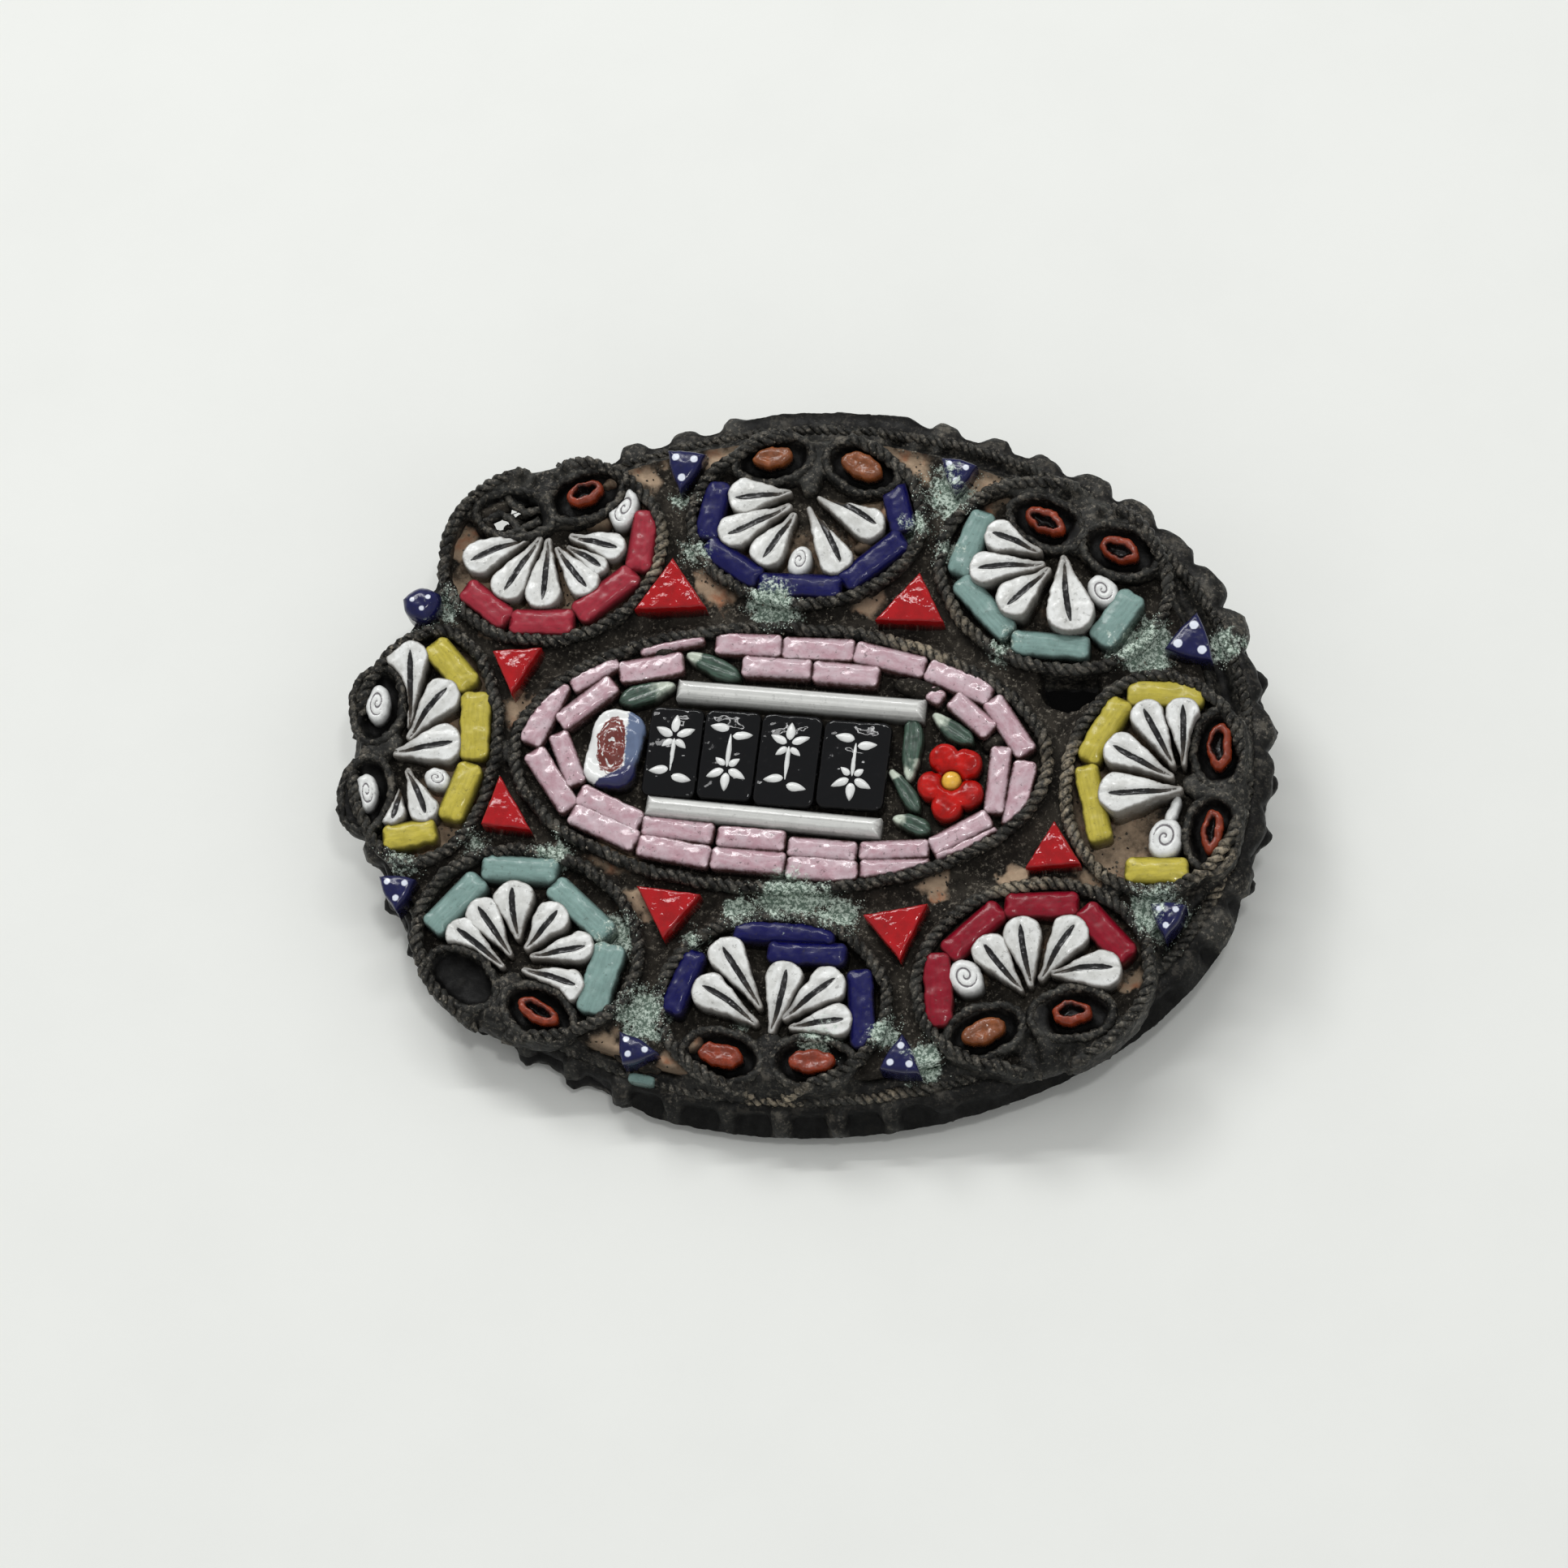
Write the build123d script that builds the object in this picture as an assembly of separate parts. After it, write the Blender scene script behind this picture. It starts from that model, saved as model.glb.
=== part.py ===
from build123d import *
import os
from collections import namedtuple
from math import asin, atan2, cos, degrees, hypot, radians, sin, sqrt

# Back plate: an oval of four tangent arcs, lying in the local XY plane with its underside at z = 0
PLATE_LENGTH = 38.6
PLATE_WIDTH = 31.8
PLATE_END_RADIUS = 14.6
PLATE_THICKNESS = 0.8

# Border: a raised flange with rounded teeth round its edge and a wire on top
FLANGE_INSET = 0.5
FLANGE_HEIGHT = 0.7
TOOTH_COUNT = 48
TOOTH_REACH = 0.5
TOOTH_ROOT_RADIUS = 0.72
TOOTH_TIP_RADIUS = 0.48
TOOTH_ROOT_INSET = 1.1
TOOTH_DROP = 0.2
BORDER_WIRE_INSET = 0.75
BORDER_WIRE_THICKNESS = 0.45

# Tray for the mosaic, standing on the flange
TRAY_EDGE_INSET = 1.15
TRAY_SHIFT_X = -0.65
TRAY_SHIFT_Y = -0.15
TRAY_WALL = 0.35
TRAY_DEPTH = 0.7

# Cells: strips on edge that carry the twisted wires
WALL_THICKNESS = 0.4
WALL_HEIGHT = 1.6
EYE_LOOP_LENGTH = 3.4
EYE_LOOP_WIDTH = 2.2
EYE_WALL_THICKNESS = 0.34
EYE_WALL_HEIGHT = 1.5
EYE_CUP_HEIGHT = 1.0
STEM_THICKNESS = 0.7
STEM_START_SHARE = 0.32
STEM_END_SHARE = 0.92
CLEFT_WIDTH = 1.7
WEB_WIDTH = 2.6
WEB_START_SHARE = 0.66

# Cement, measured up from the flange
PLAQUE_CEMENT = 0.8
FAN_CEMENT = 0.6
GROUND_CEMENT = 0.5

# Glass: every piece stands this far clear of cement and walls
SEAT_GAP = 0.03
WALL_GAP = 0.1
TILE_THICKNESS = 0.95
ROD_THICKNESS = 1.15
PETAL_THICKNESS = 1.3
TALL_PETAL_THICKNESS = 1.7
BUD_THICKNESS = 1.2
TRIANGLE_THICKNESS = 1.4
BAR_THICKNESS = 1.25
FLOWER_THICKNESS = 1.05
FLOWER_CENTRE_THICKNESS = 1.15
LEAF_THICKNESS = 0.85
BEAD_HEIGHT = 0.85
BEAD_ROUNDING = 0.25
BEAD_BEND_SHARE = 0.7
BAR_ROUNDING_SHARE = 0.3
TRIANGLE_BEVEL = 0.12

# Plan shapes, as shares of each piece's own width
ROD_CORNER_SHARE = 0.22
WHITE_BAR_CORNER_SHARE = 0.08
PINK_CORNER_SHARE = 0.15
BLACK_CORNER_SHARE = 0.12
SWIRL_CORNER_SHARE = 0.4
PETAL_FOOT_SHARE = 0.1
LEAF_FOOT_SHARE = 0.22
LEAF_TIP_SHARE = 0.42

# Chopped hole behind the open cell, where the border is broken away
CHIP_RADIUS = 1.5

# Pin, hinge and catch under the plate
PIN_DIAMETER = 0.8
PIN_LINE = 3.0
PIN_DROP = 1.5
HINGE_X = -12.0
HINGE_HEIGHT = 2.6
HINGE_LENGTH = 2.4
HINGE_TAB = 2.0
CATCH_X = 12.0
CATCH_HEIGHT = 3.6
CATCH_LENGTH = 1.8
CATCH_TAB = 0.8
ROLL_DIAMETER = 2.4

# The mosaic is charted in cells of a grid laid over the plate: 38.6 cells along it and 31.8 across it.
# A medallion's centre follows the plate, and what is in a medallion or the plaque keeps its place there.
CHART_COLUMNS = 38.6
CHART_ROWS = 31.8
CHART_CENTRE_COLUMN = -0.1
CHART_CENTRE_ROW = 0.45

Medallion = namedtuple("Medallion", "name column row half_width half_depth outward")
MEDALLIONS = [
    Medallion("upper_left", -11.95, 9.15, 4.75, 4.15, 103),
    Medallion("upper", -1.03, 10.95, 4.97, 3.90, 90),
    Medallion("upper_right", 9.75, 8.70, 5.05, 4.10, 66),
    Medallion("right", 14.70, -0.50, 4.80, 3.75, 0),
    Medallion("lower_right", 10.20, -9.20, 4.90, 4.00, 285),
    Medallion("lower", -0.60, -10.80, 4.80, 3.80, 270),
    Medallion("lower_left", -11.25, -8.60, 4.90, 4.00, 250),
    Medallion("left", -16.60, 0.05, 5.25, 3.15, 180),
]
PLAQUE = Medallion("plaque", -1.30, 0.05, 11.40, 5.85, 90)

# Eye rings: what lies in each is a bead, a bud, nothing under an open ring, or a bare domed cup
Eye = namedtuple("Eye", "medallion column row length width turn holds")
EYES = [
    Eye("upper_left", -13.80, 10.85, 1.60, 0.95, -5, "open"),
    Eye("upper_left", -10.80, 11.80, 1.55, 0.95, 25, "bead"),
    Eye("upper", -2.75, 13.75, 1.70, 0.85, 8, "bead"),
    Eye("upper", 1.15, 13.45, 1.90, 1.05, -22, "bead"),
    Eye("upper_right", 9.25, 11.15, 1.75, 0.95, -25, "bead"),
    Eye("upper_right", 12.50, 9.95, 1.75, 1.00, -18, "bead"),
    Eye("right", 17.30, 1.15, 1.95, 0.95, 90, "bead"),
    Eye("right", 17.25, -2.60, 1.85, 0.90, 90, "bead"),
    Eye("lower_right", 8.35, -11.70, 1.75, 1.00, 25, "bead"),
    Eye("lower_right", 11.95, -10.75, 1.60, 0.95, 8, "bead"),
    Eye("lower", -2.55, -13.20, 1.90, 0.95, -10, "bead"),
    Eye("lower", 1.30, -13.30, 1.90, 0.90, 0, "bead"),
    Eye("lower_left", -10.45, -11.65, 1.90, 0.85, -28, "bead"),
    Eye("lower_left", -13.90, -10.25, 1.60, 0.90, -35, "cup"),
    Eye("left", -18.85, 1.85, 1.60, 0.90, 90, "bud"),
    Eye("left", -18.95, -2.20, 1.60, 0.90, 90, "bud"),
]

# Petals run from their narrow foot at the fan's apex to the round tip
Petal = namedtuple("Petal", "medallion foot_column foot_row tip_column tip_row width")
PETALS = [
    Petal("upper_left", -13.20, 9.85, -15.60, 8.35, 1.15),
    Petal("upper_left", -12.75, 9.40, -13.95, 6.95, 1.15),
    Petal("upper_left", -12.20, 9.30, -12.15, 6.55, 1.20),
    Petal("upper_left", -11.60, 9.05, -10.10, 7.30, 1.05),
    Petal("upper_left", -11.10, 9.25, -9.60, 8.30, 0.60),
    Petal("upper_left", -10.95, 9.80, -8.90, 9.25, 0.95),
    Petal("upper", -2.20, 12.15, -4.40, 11.75, 1.25),
    Petal("upper", -2.20, 11.35, -4.60, 9.95, 1.15),
    Petal("upper", -1.75, 10.90, -2.85, 8.85, 1.15),
    Petal("upper", -0.85, 11.10, 0.70, 8.65, 1.10),
    Petal("upper", -0.30, 11.75, 2.20, 10.50, 1.10),
    Petal("upper_right", 8.90, 9.80, 6.90, 10.35, 1.10),
    Petal("upper_right", 8.95, 9.00, 6.35, 8.65, 1.10),
    Petal("upper_right", 9.35, 8.60, 7.80, 6.90, 1.25),
    Petal("upper_right", 10.25, 9.00, 10.80, 6.10, 1.60),
    Petal("right", 15.90, 0.60, 15.65, 3.00, 1.10),
    Petal("right", 15.25, 0.55, 13.95, 2.75, 1.10),
    Petal("right", 15.05, -0.15, 12.70, 1.00, 1.15),
    Petal("right", 15.40, -0.90, 12.55, -1.25, 1.35),
    Petal("lower_right", 9.55, -9.55, 7.95, -7.75, 1.15),
    Petal("lower_right", 10.05, -9.20, 9.50, -6.80, 1.25),
    Petal("lower_right", 10.70, -8.95, 11.95, -6.75, 1.20),
    Petal("lower_right", 11.30, -8.95, 13.75, -8.75, 1.25),
    Petal("lower", -1.55, -11.50, -3.80, -10.15, 1.20),
    Petal("lower", -1.35, -10.65, -3.05, -8.30, 1.20),
    Petal("lower", -0.50, -11.70, -0.10, -9.15, 1.20),
    Petal("lower", 0.20, -11.20, 2.15, -9.55, 1.20),
    Petal("lower", 0.55, -11.80, 2.70, -11.40, 1.10),
    Petal("lower_left", -12.50, -9.50, -14.50, -8.05, 1.05),
    Petal("lower_left", -12.15, -8.85, -13.60, -7.00, 1.10),
    Petal("lower_left", -11.75, -8.10, -12.10, -6.05, 1.30),
    Petal("lower_left", -11.10, -8.60, -9.95, -7.05, 1.15),
    Petal("lower_left", -10.70, -9.10, -8.50, -8.65, 1.00),
    Petal("lower_left", -11.00, -9.90, -8.75, -10.60, 1.05),
    Petal("left", -17.60, 1.35, -17.75, 4.60, 1.35),
    Petal("left", -17.15, 0.70, -15.70, 2.80, 1.20),
    Petal("left", -17.75, -0.25, -15.10, 0.25, 1.35),
    Petal("left", -17.10, -1.35, -16.10, -3.30, 0.95),
    Petal("left", -18.05, -1.35, -17.60, -3.50, 1.00),
]
TALL_FANS = ("upper_right", "right")

Bar = namedtuple("Bar", "group start_column start_row end_column end_row width")
RODS = [
    Bar("upper_left", -15.50, 7.25, -13.65, 5.90, 0.85),
    Bar("upper_left", -13.35, 5.80, -10.80, 5.90, 0.90),
    Bar("upper_left", -10.50, 6.25, -8.35, 8.15, 0.90),
    Bar("upper_left", -8.15, 8.45, -8.00, 11.00, 0.90),
    Bar("upper", -5.00, 12.40, -5.28, 10.00, 0.85),
    Bar("upper", -5.20, 9.55, -2.95, 8.15, 0.80),
    Bar("upper", -2.75, 7.90, 0.60, 7.90, 0.80),
    Bar("upper", 0.90, 8.10, 3.15, 10.15, 0.85),
    Bar("upper", 3.20, 10.62, 2.40, 13.00, 0.85),
    Bar("upper_right", 6.60, 11.40, 5.70, 8.70, 0.90),
    Bar("upper_right", 5.85, 8.28, 8.00, 6.05, 0.80),
    Bar("upper_right", 8.30, 5.60, 11.40, 5.45, 0.80),
    Bar("upper_right", 11.95, 5.80, 13.25, 7.85, 1.00),
    Bar("right", 13.40, 3.45, 16.40, 3.45, 0.85),
    Bar("right", 13.05, 3.05, 11.80, 0.45, 0.85),
    Bar("right", 11.75, 0.05, 12.60, -3.05, 0.75),
    Bar("right", 13.85, -4.40, 16.20, -4.35, 0.85),
    Bar("lower_right", 6.15, -8.50, 6.45, -11.45, 0.90),
    Bar("lower_right", 6.65, -8.30, 8.55, -6.35, 0.85),
    Bar("lower_right", 8.90, -6.15, 11.75, -6.00, 0.85),
    Bar("lower_right", 12.15, -6.25, 14.05, -8.15, 0.90),
    Bar("lower", -4.00, -8.80, -4.85, -11.35, 0.75),
    Bar("lower", -2.40, -7.75, 1.65, -7.75, 0.60),
    Bar("lower", -0.85, -8.60, 2.20, -8.60, 0.70),
    Bar("lower", 2.95, -9.35, 3.35, -12.50, 0.80),
    Bar("lower_left", -15.35, -8.05, -13.60, -5.90, 0.90),
    Bar("lower_left", -13.40, -5.35, -10.40, -5.40, 0.85),
    Bar("lower_left", -10.30, -6.05, -7.90, -8.05, 0.85),
    Bar("lower_left", -7.65, -8.65, -8.25, -11.50, 1.10),
    Bar("left", -16.65, 4.65, -14.95, 2.85, 0.95),
    Bar("left", -14.60, 2.40, -14.40, -0.40, 1.00),
    Bar("left", -14.50, -0.85, -15.15, -3.15, 0.90),
    Bar("left", -15.80, -3.75, -17.80, -4.20, 0.85),
]
PINK_TILES = [
    Bar("outer", -12.00, 0.35, -11.00, 3.00, 0.85),
    Bar("outer", -10.45, 3.05, -8.75, 4.20, 0.75),
    Bar("outer", -7.60, 4.75, -5.05, 5.40, 0.55),
    Bar("outer", -4.35, 5.10, -1.70, 5.05, 0.80),
    Bar("outer", -1.45, 4.98, 1.45, 4.98, 0.80),
    Bar("outer", 1.65, 4.90, 4.55, 4.30, 0.80),
    Bar("outer", 4.80, 4.20, 7.45, 3.15, 0.80),
    Bar("outer", 7.60, 2.90, 9.20, 0.65, 0.80),
    Bar("outer", 9.20, 0.15, 8.85, -2.85, 0.80),
    Bar("outer", 8.45, -3.15, 5.95, -4.55, 0.85),
    Bar("outer", 5.60, -4.75, 2.70, -4.90, 0.85),
    Bar("outer", 2.40, -4.95, -0.45, -4.85, 0.80),
    Bar("outer", -0.70, -4.70, -3.65, -4.55, 0.80),
    Bar("outer", -3.90, -4.55, -6.85, -4.10, 0.80),
    Bar("outer", -7.10, -3.95, -9.85, -2.80, 0.80),
    Bar("outer", -10.05, -2.55, -11.80, -0.15, 0.80),
    Bar("inner", -10.75, 1.30, -8.75, 3.10, 0.75),
    Bar("inner", -8.40, 3.60, -5.85, 4.15, 0.80),
    Bar("inner", -3.10, 4.10, -0.30, 4.05, 0.75),
    Bar("inner", -0.05, 3.95, 2.60, 3.80, 0.75),
    Bar("inner", 4.95, 3.15, 5.40, 2.90, 0.50),
    Bar("inner", 5.95, 2.90, 7.60, 1.55, 0.75),
    Bar("inner", 8.15, 0.75, 8.05, -2.05, 0.70),
    Bar("inner", 7.80, -2.35, 5.60, -3.75, 0.70),
    Bar("inner", 5.35, -3.80, 2.60, -4.00, 0.65),
    Bar("inner", 2.30, -4.05, -0.45, -3.95, 0.70),
    Bar("inner", -0.75, -3.70, -3.50, -3.60, 0.75),
    Bar("inner", -3.85, -3.50, -6.75, -3.25, 0.75),
    Bar("inner", -7.00, -3.10, -9.60, -1.95, 0.80),
    Bar("inner", -9.85, -1.40, -10.85, 0.70, 0.70),
]
WHITE_BARS = [
    Bar("upper", -5.90, 2.90, 4.80, 2.35, 0.95),
    Bar("lower", -6.75, -2.35, 3.35, -3.00, 0.90),
]

Tile = namedtuple("Tile", "column row length width turn")
BLACK_TILES = [
    Tile(-5.82, 0.10, 2.15, 3.85, -2),
    Tile(-3.42, 0.05, 2.25, 3.85, -2),
    Tile(-0.88, -0.10, 2.45, 3.95, -2),
    Tile(1.95, -0.20, 2.75, 3.80, -2),
]
SWIRL_FLOWER = Tile(-8.35, 0.15, 2.20, 3.45, -8)
FLOWER = Tile(6.15, -0.80, 2.85, 3.50, 190)
FLOWER_PETALS = 5
FLOWER_PETAL_SHARE = 0.22
FLOWER_HEART_SHARE = 0.15

Leaf = namedtuple("Leaf", "foot_column foot_row tip_column tip_row width")
LEAVES = [
    Leaf(-5.50, 4.45, -3.45, 3.75, 0.75),
    Leaf(-6.30, 3.20, -8.15, 2.35, 0.80),
    Leaf(4.35, -0.55, 4.25, 1.85, 0.75),
    Leaf(5.25, 2.15, 6.75, 1.15, 0.70),
    Leaf(3.60, -0.50, 4.75, -1.95, 0.55),
    Leaf(3.95, -2.45, 5.25, -3.00, 0.70),
]

Bud = namedtuple("Bud", "medallion column row length width turn")
BUDS = [
    Bud("upper_left", -9.05, 11.20, 1.75, 1.10, 80),
    Bud("upper", -1.17, 9.00, 1.25, 0.85, 80),
    Bud("upper_right", 11.90, 8.05, 1.40, 1.05, -50),
    Bud("right", 15.30, -2.95, 1.65, 1.30, 80),
    Bud("lower_right", 7.40, -9.35, 1.55, 1.25, -50),
    Bud("left", -15.90, -1.45, 1.05, 0.80, -25),
]

Triangle = namedtuple("Triangle", "column_a row_a column_b row_b column_c row_c")
RED_TRIANGLES = [
    Triangle(-6.60, 8.80, -8.05, 6.40, -4.95, 6.60),
    Triangle(4.10, 8.45, 2.35, 6.25, 5.30, 6.25),
    Triangle(-14.00, 4.30, -11.90, 4.50, -13.00, 2.35),
    Triangle(-13.10, -1.35, -13.70, -3.55, -11.50, -3.75),
    Triangle(-6.75, -6.05, -4.00, -6.30, -5.40, -8.35),
    Triangle(2.95, -6.95, 5.60, -6.35, 4.65, -8.85),
    Triangle(10.65, -2.50, 9.60, -4.60, 11.90, -4.35),
]
BLUE_TRIANGLES = [
    Triangle(-7.35, 13.85, -5.60, 13.70, -6.60, 11.80),
    Triangle(4.55, 13.85, 6.15, 13.50, 5.30, 12.20),
    Triangle(16.00, 7.20, 14.65, 5.35, 16.90, 4.80),
    Triangle(14.90, -5.95, 16.40, -5.95, 15.60, -7.45),
    Triangle(5.00, -12.00, 4.15, -13.60, 5.90, -13.70),
    Triangle(-6.90, -12.40, -5.10, -13.30, -6.60, -13.80),
    Triangle(-17.90, -6.00, -16.25, -6.10, -16.95, -7.55),
    Triangle(-18.20, 6.60, -16.70, 6.90, -17.20, 5.75),
]

# Heights that follow from the sizes above
FLANGE_TOP = PLATE_THICKNESS + FLANGE_HEIGHT
PLAQUE_SEAT = FLANGE_TOP + PLAQUE_CEMENT + SEAT_GAP
FAN_SEAT = FLANGE_TOP + FAN_CEMENT + SEAT_GAP
GROUND_SEAT = FLANGE_TOP + GROUND_CEMENT + SEAT_GAP
CELL_ALONG = PLATE_LENGTH / CHART_COLUMNS
CELL_ACROSS = PLATE_WIDTH / CHART_ROWS
CELL = min(CELL_ALONG, CELL_ACROSS)


def spot(column, row):
    """The local x and y of a place on the chart."""
    return (column - CHART_CENTRE_COLUMN) * CELL_ALONG, (row - CHART_CENTRE_ROW) * CELL_ACROSS


def spot_in(cell, column, row):
    """The local x and y of a place on the chart that goes with a medallion or with the plaque."""
    x, y = spot(cell.column, cell.row)
    return x + (column - cell.column) * CELL, y + (row - cell.row) * CELL


def medallion_of(piece):
    """The medallion that an eye, a petal or a bud names."""
    return [row for row in MEDALLIONS if row.name == piece.medallion][0]


def prism(plan, bottom, height):
    """Raise a plan straight up from the height called bottom."""
    return Pos(0, 0, bottom) * extrude(plan, amount=height)


def oval_sizes(inset):
    """Half length, half width, end radius and side radius of the plate's oval, drawn in by inset."""
    half_length = PLATE_LENGTH / 2
    half_width = PLATE_WIDTH / 2
    top = half_length ** 2 + half_width ** 2 - 2 * half_length * PLATE_END_RADIUS
    side_radius = top / (2 * (half_width - PLATE_END_RADIUS))
    return half_length - inset, half_width - inset, PLATE_END_RADIUS - inset, side_radius - inset


def oval_wire(inset):
    """The plate's oval as a closed wire of four arcs, drawn in by inset."""
    half_length, half_width, end_radius, side_radius = oval_sizes(inset)
    run = half_length - end_radius
    drop = side_radius - half_width
    reach = hypot(run, drop)
    x = run + end_radius * run / reach
    y = end_radius * drop / reach
    right = ThreePointArc((x, -y), (half_length, 0), (x, y))
    top = ThreePointArc((x, y), (0, half_width), (-x, y))
    left = ThreePointArc((-x, y), (-half_length, 0), (-x, -y))
    bottom = ThreePointArc((-x, -y), (0, -half_width), (x, -y))
    return Wire([right.edge(), top.edge(), left.edge(), bottom.edge()])


def oval(inset):
    """The plate's oval as a face, drawn in by inset."""
    return Sketch() + Face(oval_wire(inset))


def tray(inset):
    """The tray's oval, drawn in by inset from its outer edge."""
    return Pos(TRAY_SHIFT_X, TRAY_SHIFT_Y) * oval(TRAY_EDGE_INSET + inset)


def cell_plan(cell, growth):
    """A cell's ellipse, its wall's centre line moved outwards by growth."""
    x, y = spot(cell.column, cell.row)
    across = cell.half_width * CELL + growth
    deep = cell.half_depth * CELL + growth
    return Pos(x, y) * Rot(0, 0, cell.outward - 90) * Ellipse(across, deep)


def eye_plan(eye, growth):
    """An eye ring's ellipse, its wall's centre line moved outwards by growth."""
    x, y = spot_in(medallion_of(eye), eye.column, eye.row)
    long_half = EYE_LOOP_LENGTH / 2 * CELL + growth
    short_half = EYE_LOOP_WIDTH / 2 * CELL + growth
    return Pos(x, y) * Rot(0, 0, eye.turn) * Ellipse(long_half, short_half)


def oval_plan(piece):
    """The small ellipse of a bead or a bud."""
    x, y = spot_in(medallion_of(piece), piece.column, piece.row)
    return Pos(x, y) * Rot(0, 0, piece.turn) * Ellipse(piece.length / 2 * CELL, piece.width / 2 * CELL)


def bar_plan(cell, bar, corner_share):
    """A straight bar between two places in a cell, with rounded corners."""
    x1, y1 = spot_in(cell, bar.start_column, bar.start_row)
    x2, y2 = spot_in(cell, bar.end_column, bar.end_row)
    width = bar.width * CELL
    shape = RectangleRounded(hypot(x2 - x1, y2 - y1), width, corner_share * width)
    return Pos((x1 + x2) / 2, (y1 + y2) / 2) * Rot(0, 0, degrees(atan2(y2 - y1, x2 - x1))) * shape


def drop_plan(foot, tip, foot_radius, tip_radius):
    """The outline round a small circle at foot and a larger one that ends at tip."""
    run = hypot(tip[0] - foot[0], tip[1] - foot[1])
    span = run - foot_radius - tip_radius
    lean = degrees(asin((tip_radius - foot_radius) / span))
    flank = radians(-90 - lean)
    small = (foot_radius * cos(flank), foot_radius * sin(flank))
    large = (span + tip_radius * cos(flank), tip_radius * sin(flank))
    side_one = Line(small, large)
    end = ThreePointArc(large, (span + tip_radius, 0), (large[0], -large[1]))
    side_two = Line((large[0], -large[1]), (small[0], -small[1]))
    start = ThreePointArc((small[0], -small[1]), (-foot_radius, 0), small)
    face = Face(Wire([side_one.edge(), end.edge(), side_two.edge(), start.edge()]))
    turn = degrees(atan2(tip[1] - foot[1], tip[0] - foot[0]))
    return Pos(foot[0], foot[1]) * Rot(0, 0, turn) * Pos(foot_radius, 0) * (Sketch() + face)


def petal_plan(petal):
    """A petal's plan, wide at its tip."""
    foot = spot_in(medallion_of(petal), petal.foot_column, petal.foot_row)
    tip = spot_in(medallion_of(petal), petal.tip_column, petal.tip_row)
    width = petal.width * CELL
    return drop_plan(foot, tip, PETAL_FOOT_SHARE * width, width / 2)


def leaf_plan(leaf):
    """A leaf's plan, blunt at both ends."""
    foot = spot_in(PLAQUE, leaf.foot_column, leaf.foot_row)
    tip = spot_in(PLAQUE, leaf.tip_column, leaf.tip_row)
    width = leaf.width * CELL
    return drop_plan(foot, tip, LEAF_FOOT_SHARE * width, LEAF_TIP_SHARE * width)


def triangle_plan(triangle):
    """A triangle's plan from its three corners on the chart."""
    corners = [
        spot(triangle.column_a, triangle.row_a),
        spot(triangle.column_b, triangle.row_b),
        spot(triangle.column_c, triangle.row_c),
    ]
    return make_face(Polyline(*corners, close=True))


def tile_plan(tile, corner_share):
    """A plaque tile's plan with rounded corners."""
    x, y = spot_in(PLAQUE, tile.column, tile.row)
    shape = RectangleRounded(tile.length * CELL, tile.width * CELL, corner_share * tile.length * CELL)
    return Pos(x, y) * Rot(0, 0, tile.turn) * shape


def build_tooth(place, outward):
    """A rounded tooth that slopes down from the flange to its tip."""
    tip_reach = TOOTH_REACH - TOOTH_TIP_RADIUS
    root_height = FLANGE_TOP - TOOTH_ROOT_RADIUS - SEAT_GAP
    length = hypot(tip_reach + TOOTH_ROOT_INSET, TOOTH_DROP)
    slope = degrees(atan2(TOOTH_DROP, tip_reach + TOOTH_ROOT_INSET))
    body = Cone(TOOTH_ROOT_RADIUS, TOOTH_TIP_RADIUS, length, align=(Align.CENTER, Align.CENTER, Align.MIN))
    knob = Pos(0, 0, length) * Sphere(TOOTH_TIP_RADIUS)
    tooth = Rot(0, 90 + slope, 0) * (body + knob)
    turned = Rot(0, 0, degrees(atan2(outward.Y, outward.X))) * Pos(-TOOTH_ROOT_INSET, 0, root_height) * tooth
    return Pos(place.X, place.Y) * turned


def build_teeth():
    """All the teeth, evenly spaced along the plate's edge."""
    edge = oval_wire(0)
    teeth = []
    for index in range(TOOTH_COUNT):
        share = (index + 0.5) / TOOTH_COUNT
        place = edge.position_at(share)
        along = edge.tangent_at(share)
        outward = Vector(along.Y, -along.X)
        if outward.dot(place) < 0:
            outward = outward * -1
        teeth.append(build_tooth(place, outward))
    return teeth


def medallion_frame(medallion):
    """The place on a medallion from which x runs along it and y outwards."""
    x, y = spot(medallion.column, medallion.row)
    return Pos(x, y) * Rot(0, 0, medallion.outward - 90)


def strip_plan(medallion, width, start_share, end_share, growth=0.0):
    """A strip across a medallion's outer half, between two shares of its depth."""
    deep = medallion.half_depth * CELL
    middle = (start_share + end_share) / 2 * deep
    shape = Rectangle(width + 2 * growth, (end_share - start_share) * deep + 2 * growth)
    return medallion_frame(medallion) * Pos(0, middle) * shape


def stem_plan(medallion, growth=0.0):
    """The upright between a medallion's two eyes."""
    return strip_plan(medallion, STEM_THICKNESS, STEM_START_SHARE, STEM_END_SHARE, growth)


def web_plan(medallion, growth=0.0):
    """The low sheet of metal that runs out between the two eyes to the wall's line."""
    return strip_plan(medallion, WEB_WIDTH * CELL, WEB_START_SHARE, 1, growth)


def chip_plan():
    """The bite that is broken out of the plate behind the bare eye ring."""
    bare_eye = [eye for eye in EYES if eye.holds == "open"][0]
    x, y = spot_in(medallion_of(bare_eye), bare_eye.column, bare_eye.row)
    outwards = 1 + CHIP_RADIUS / hypot(x, y)
    return Pos(x * outwards, y * outwards) * Circle(CHIP_RADIUS)


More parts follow.
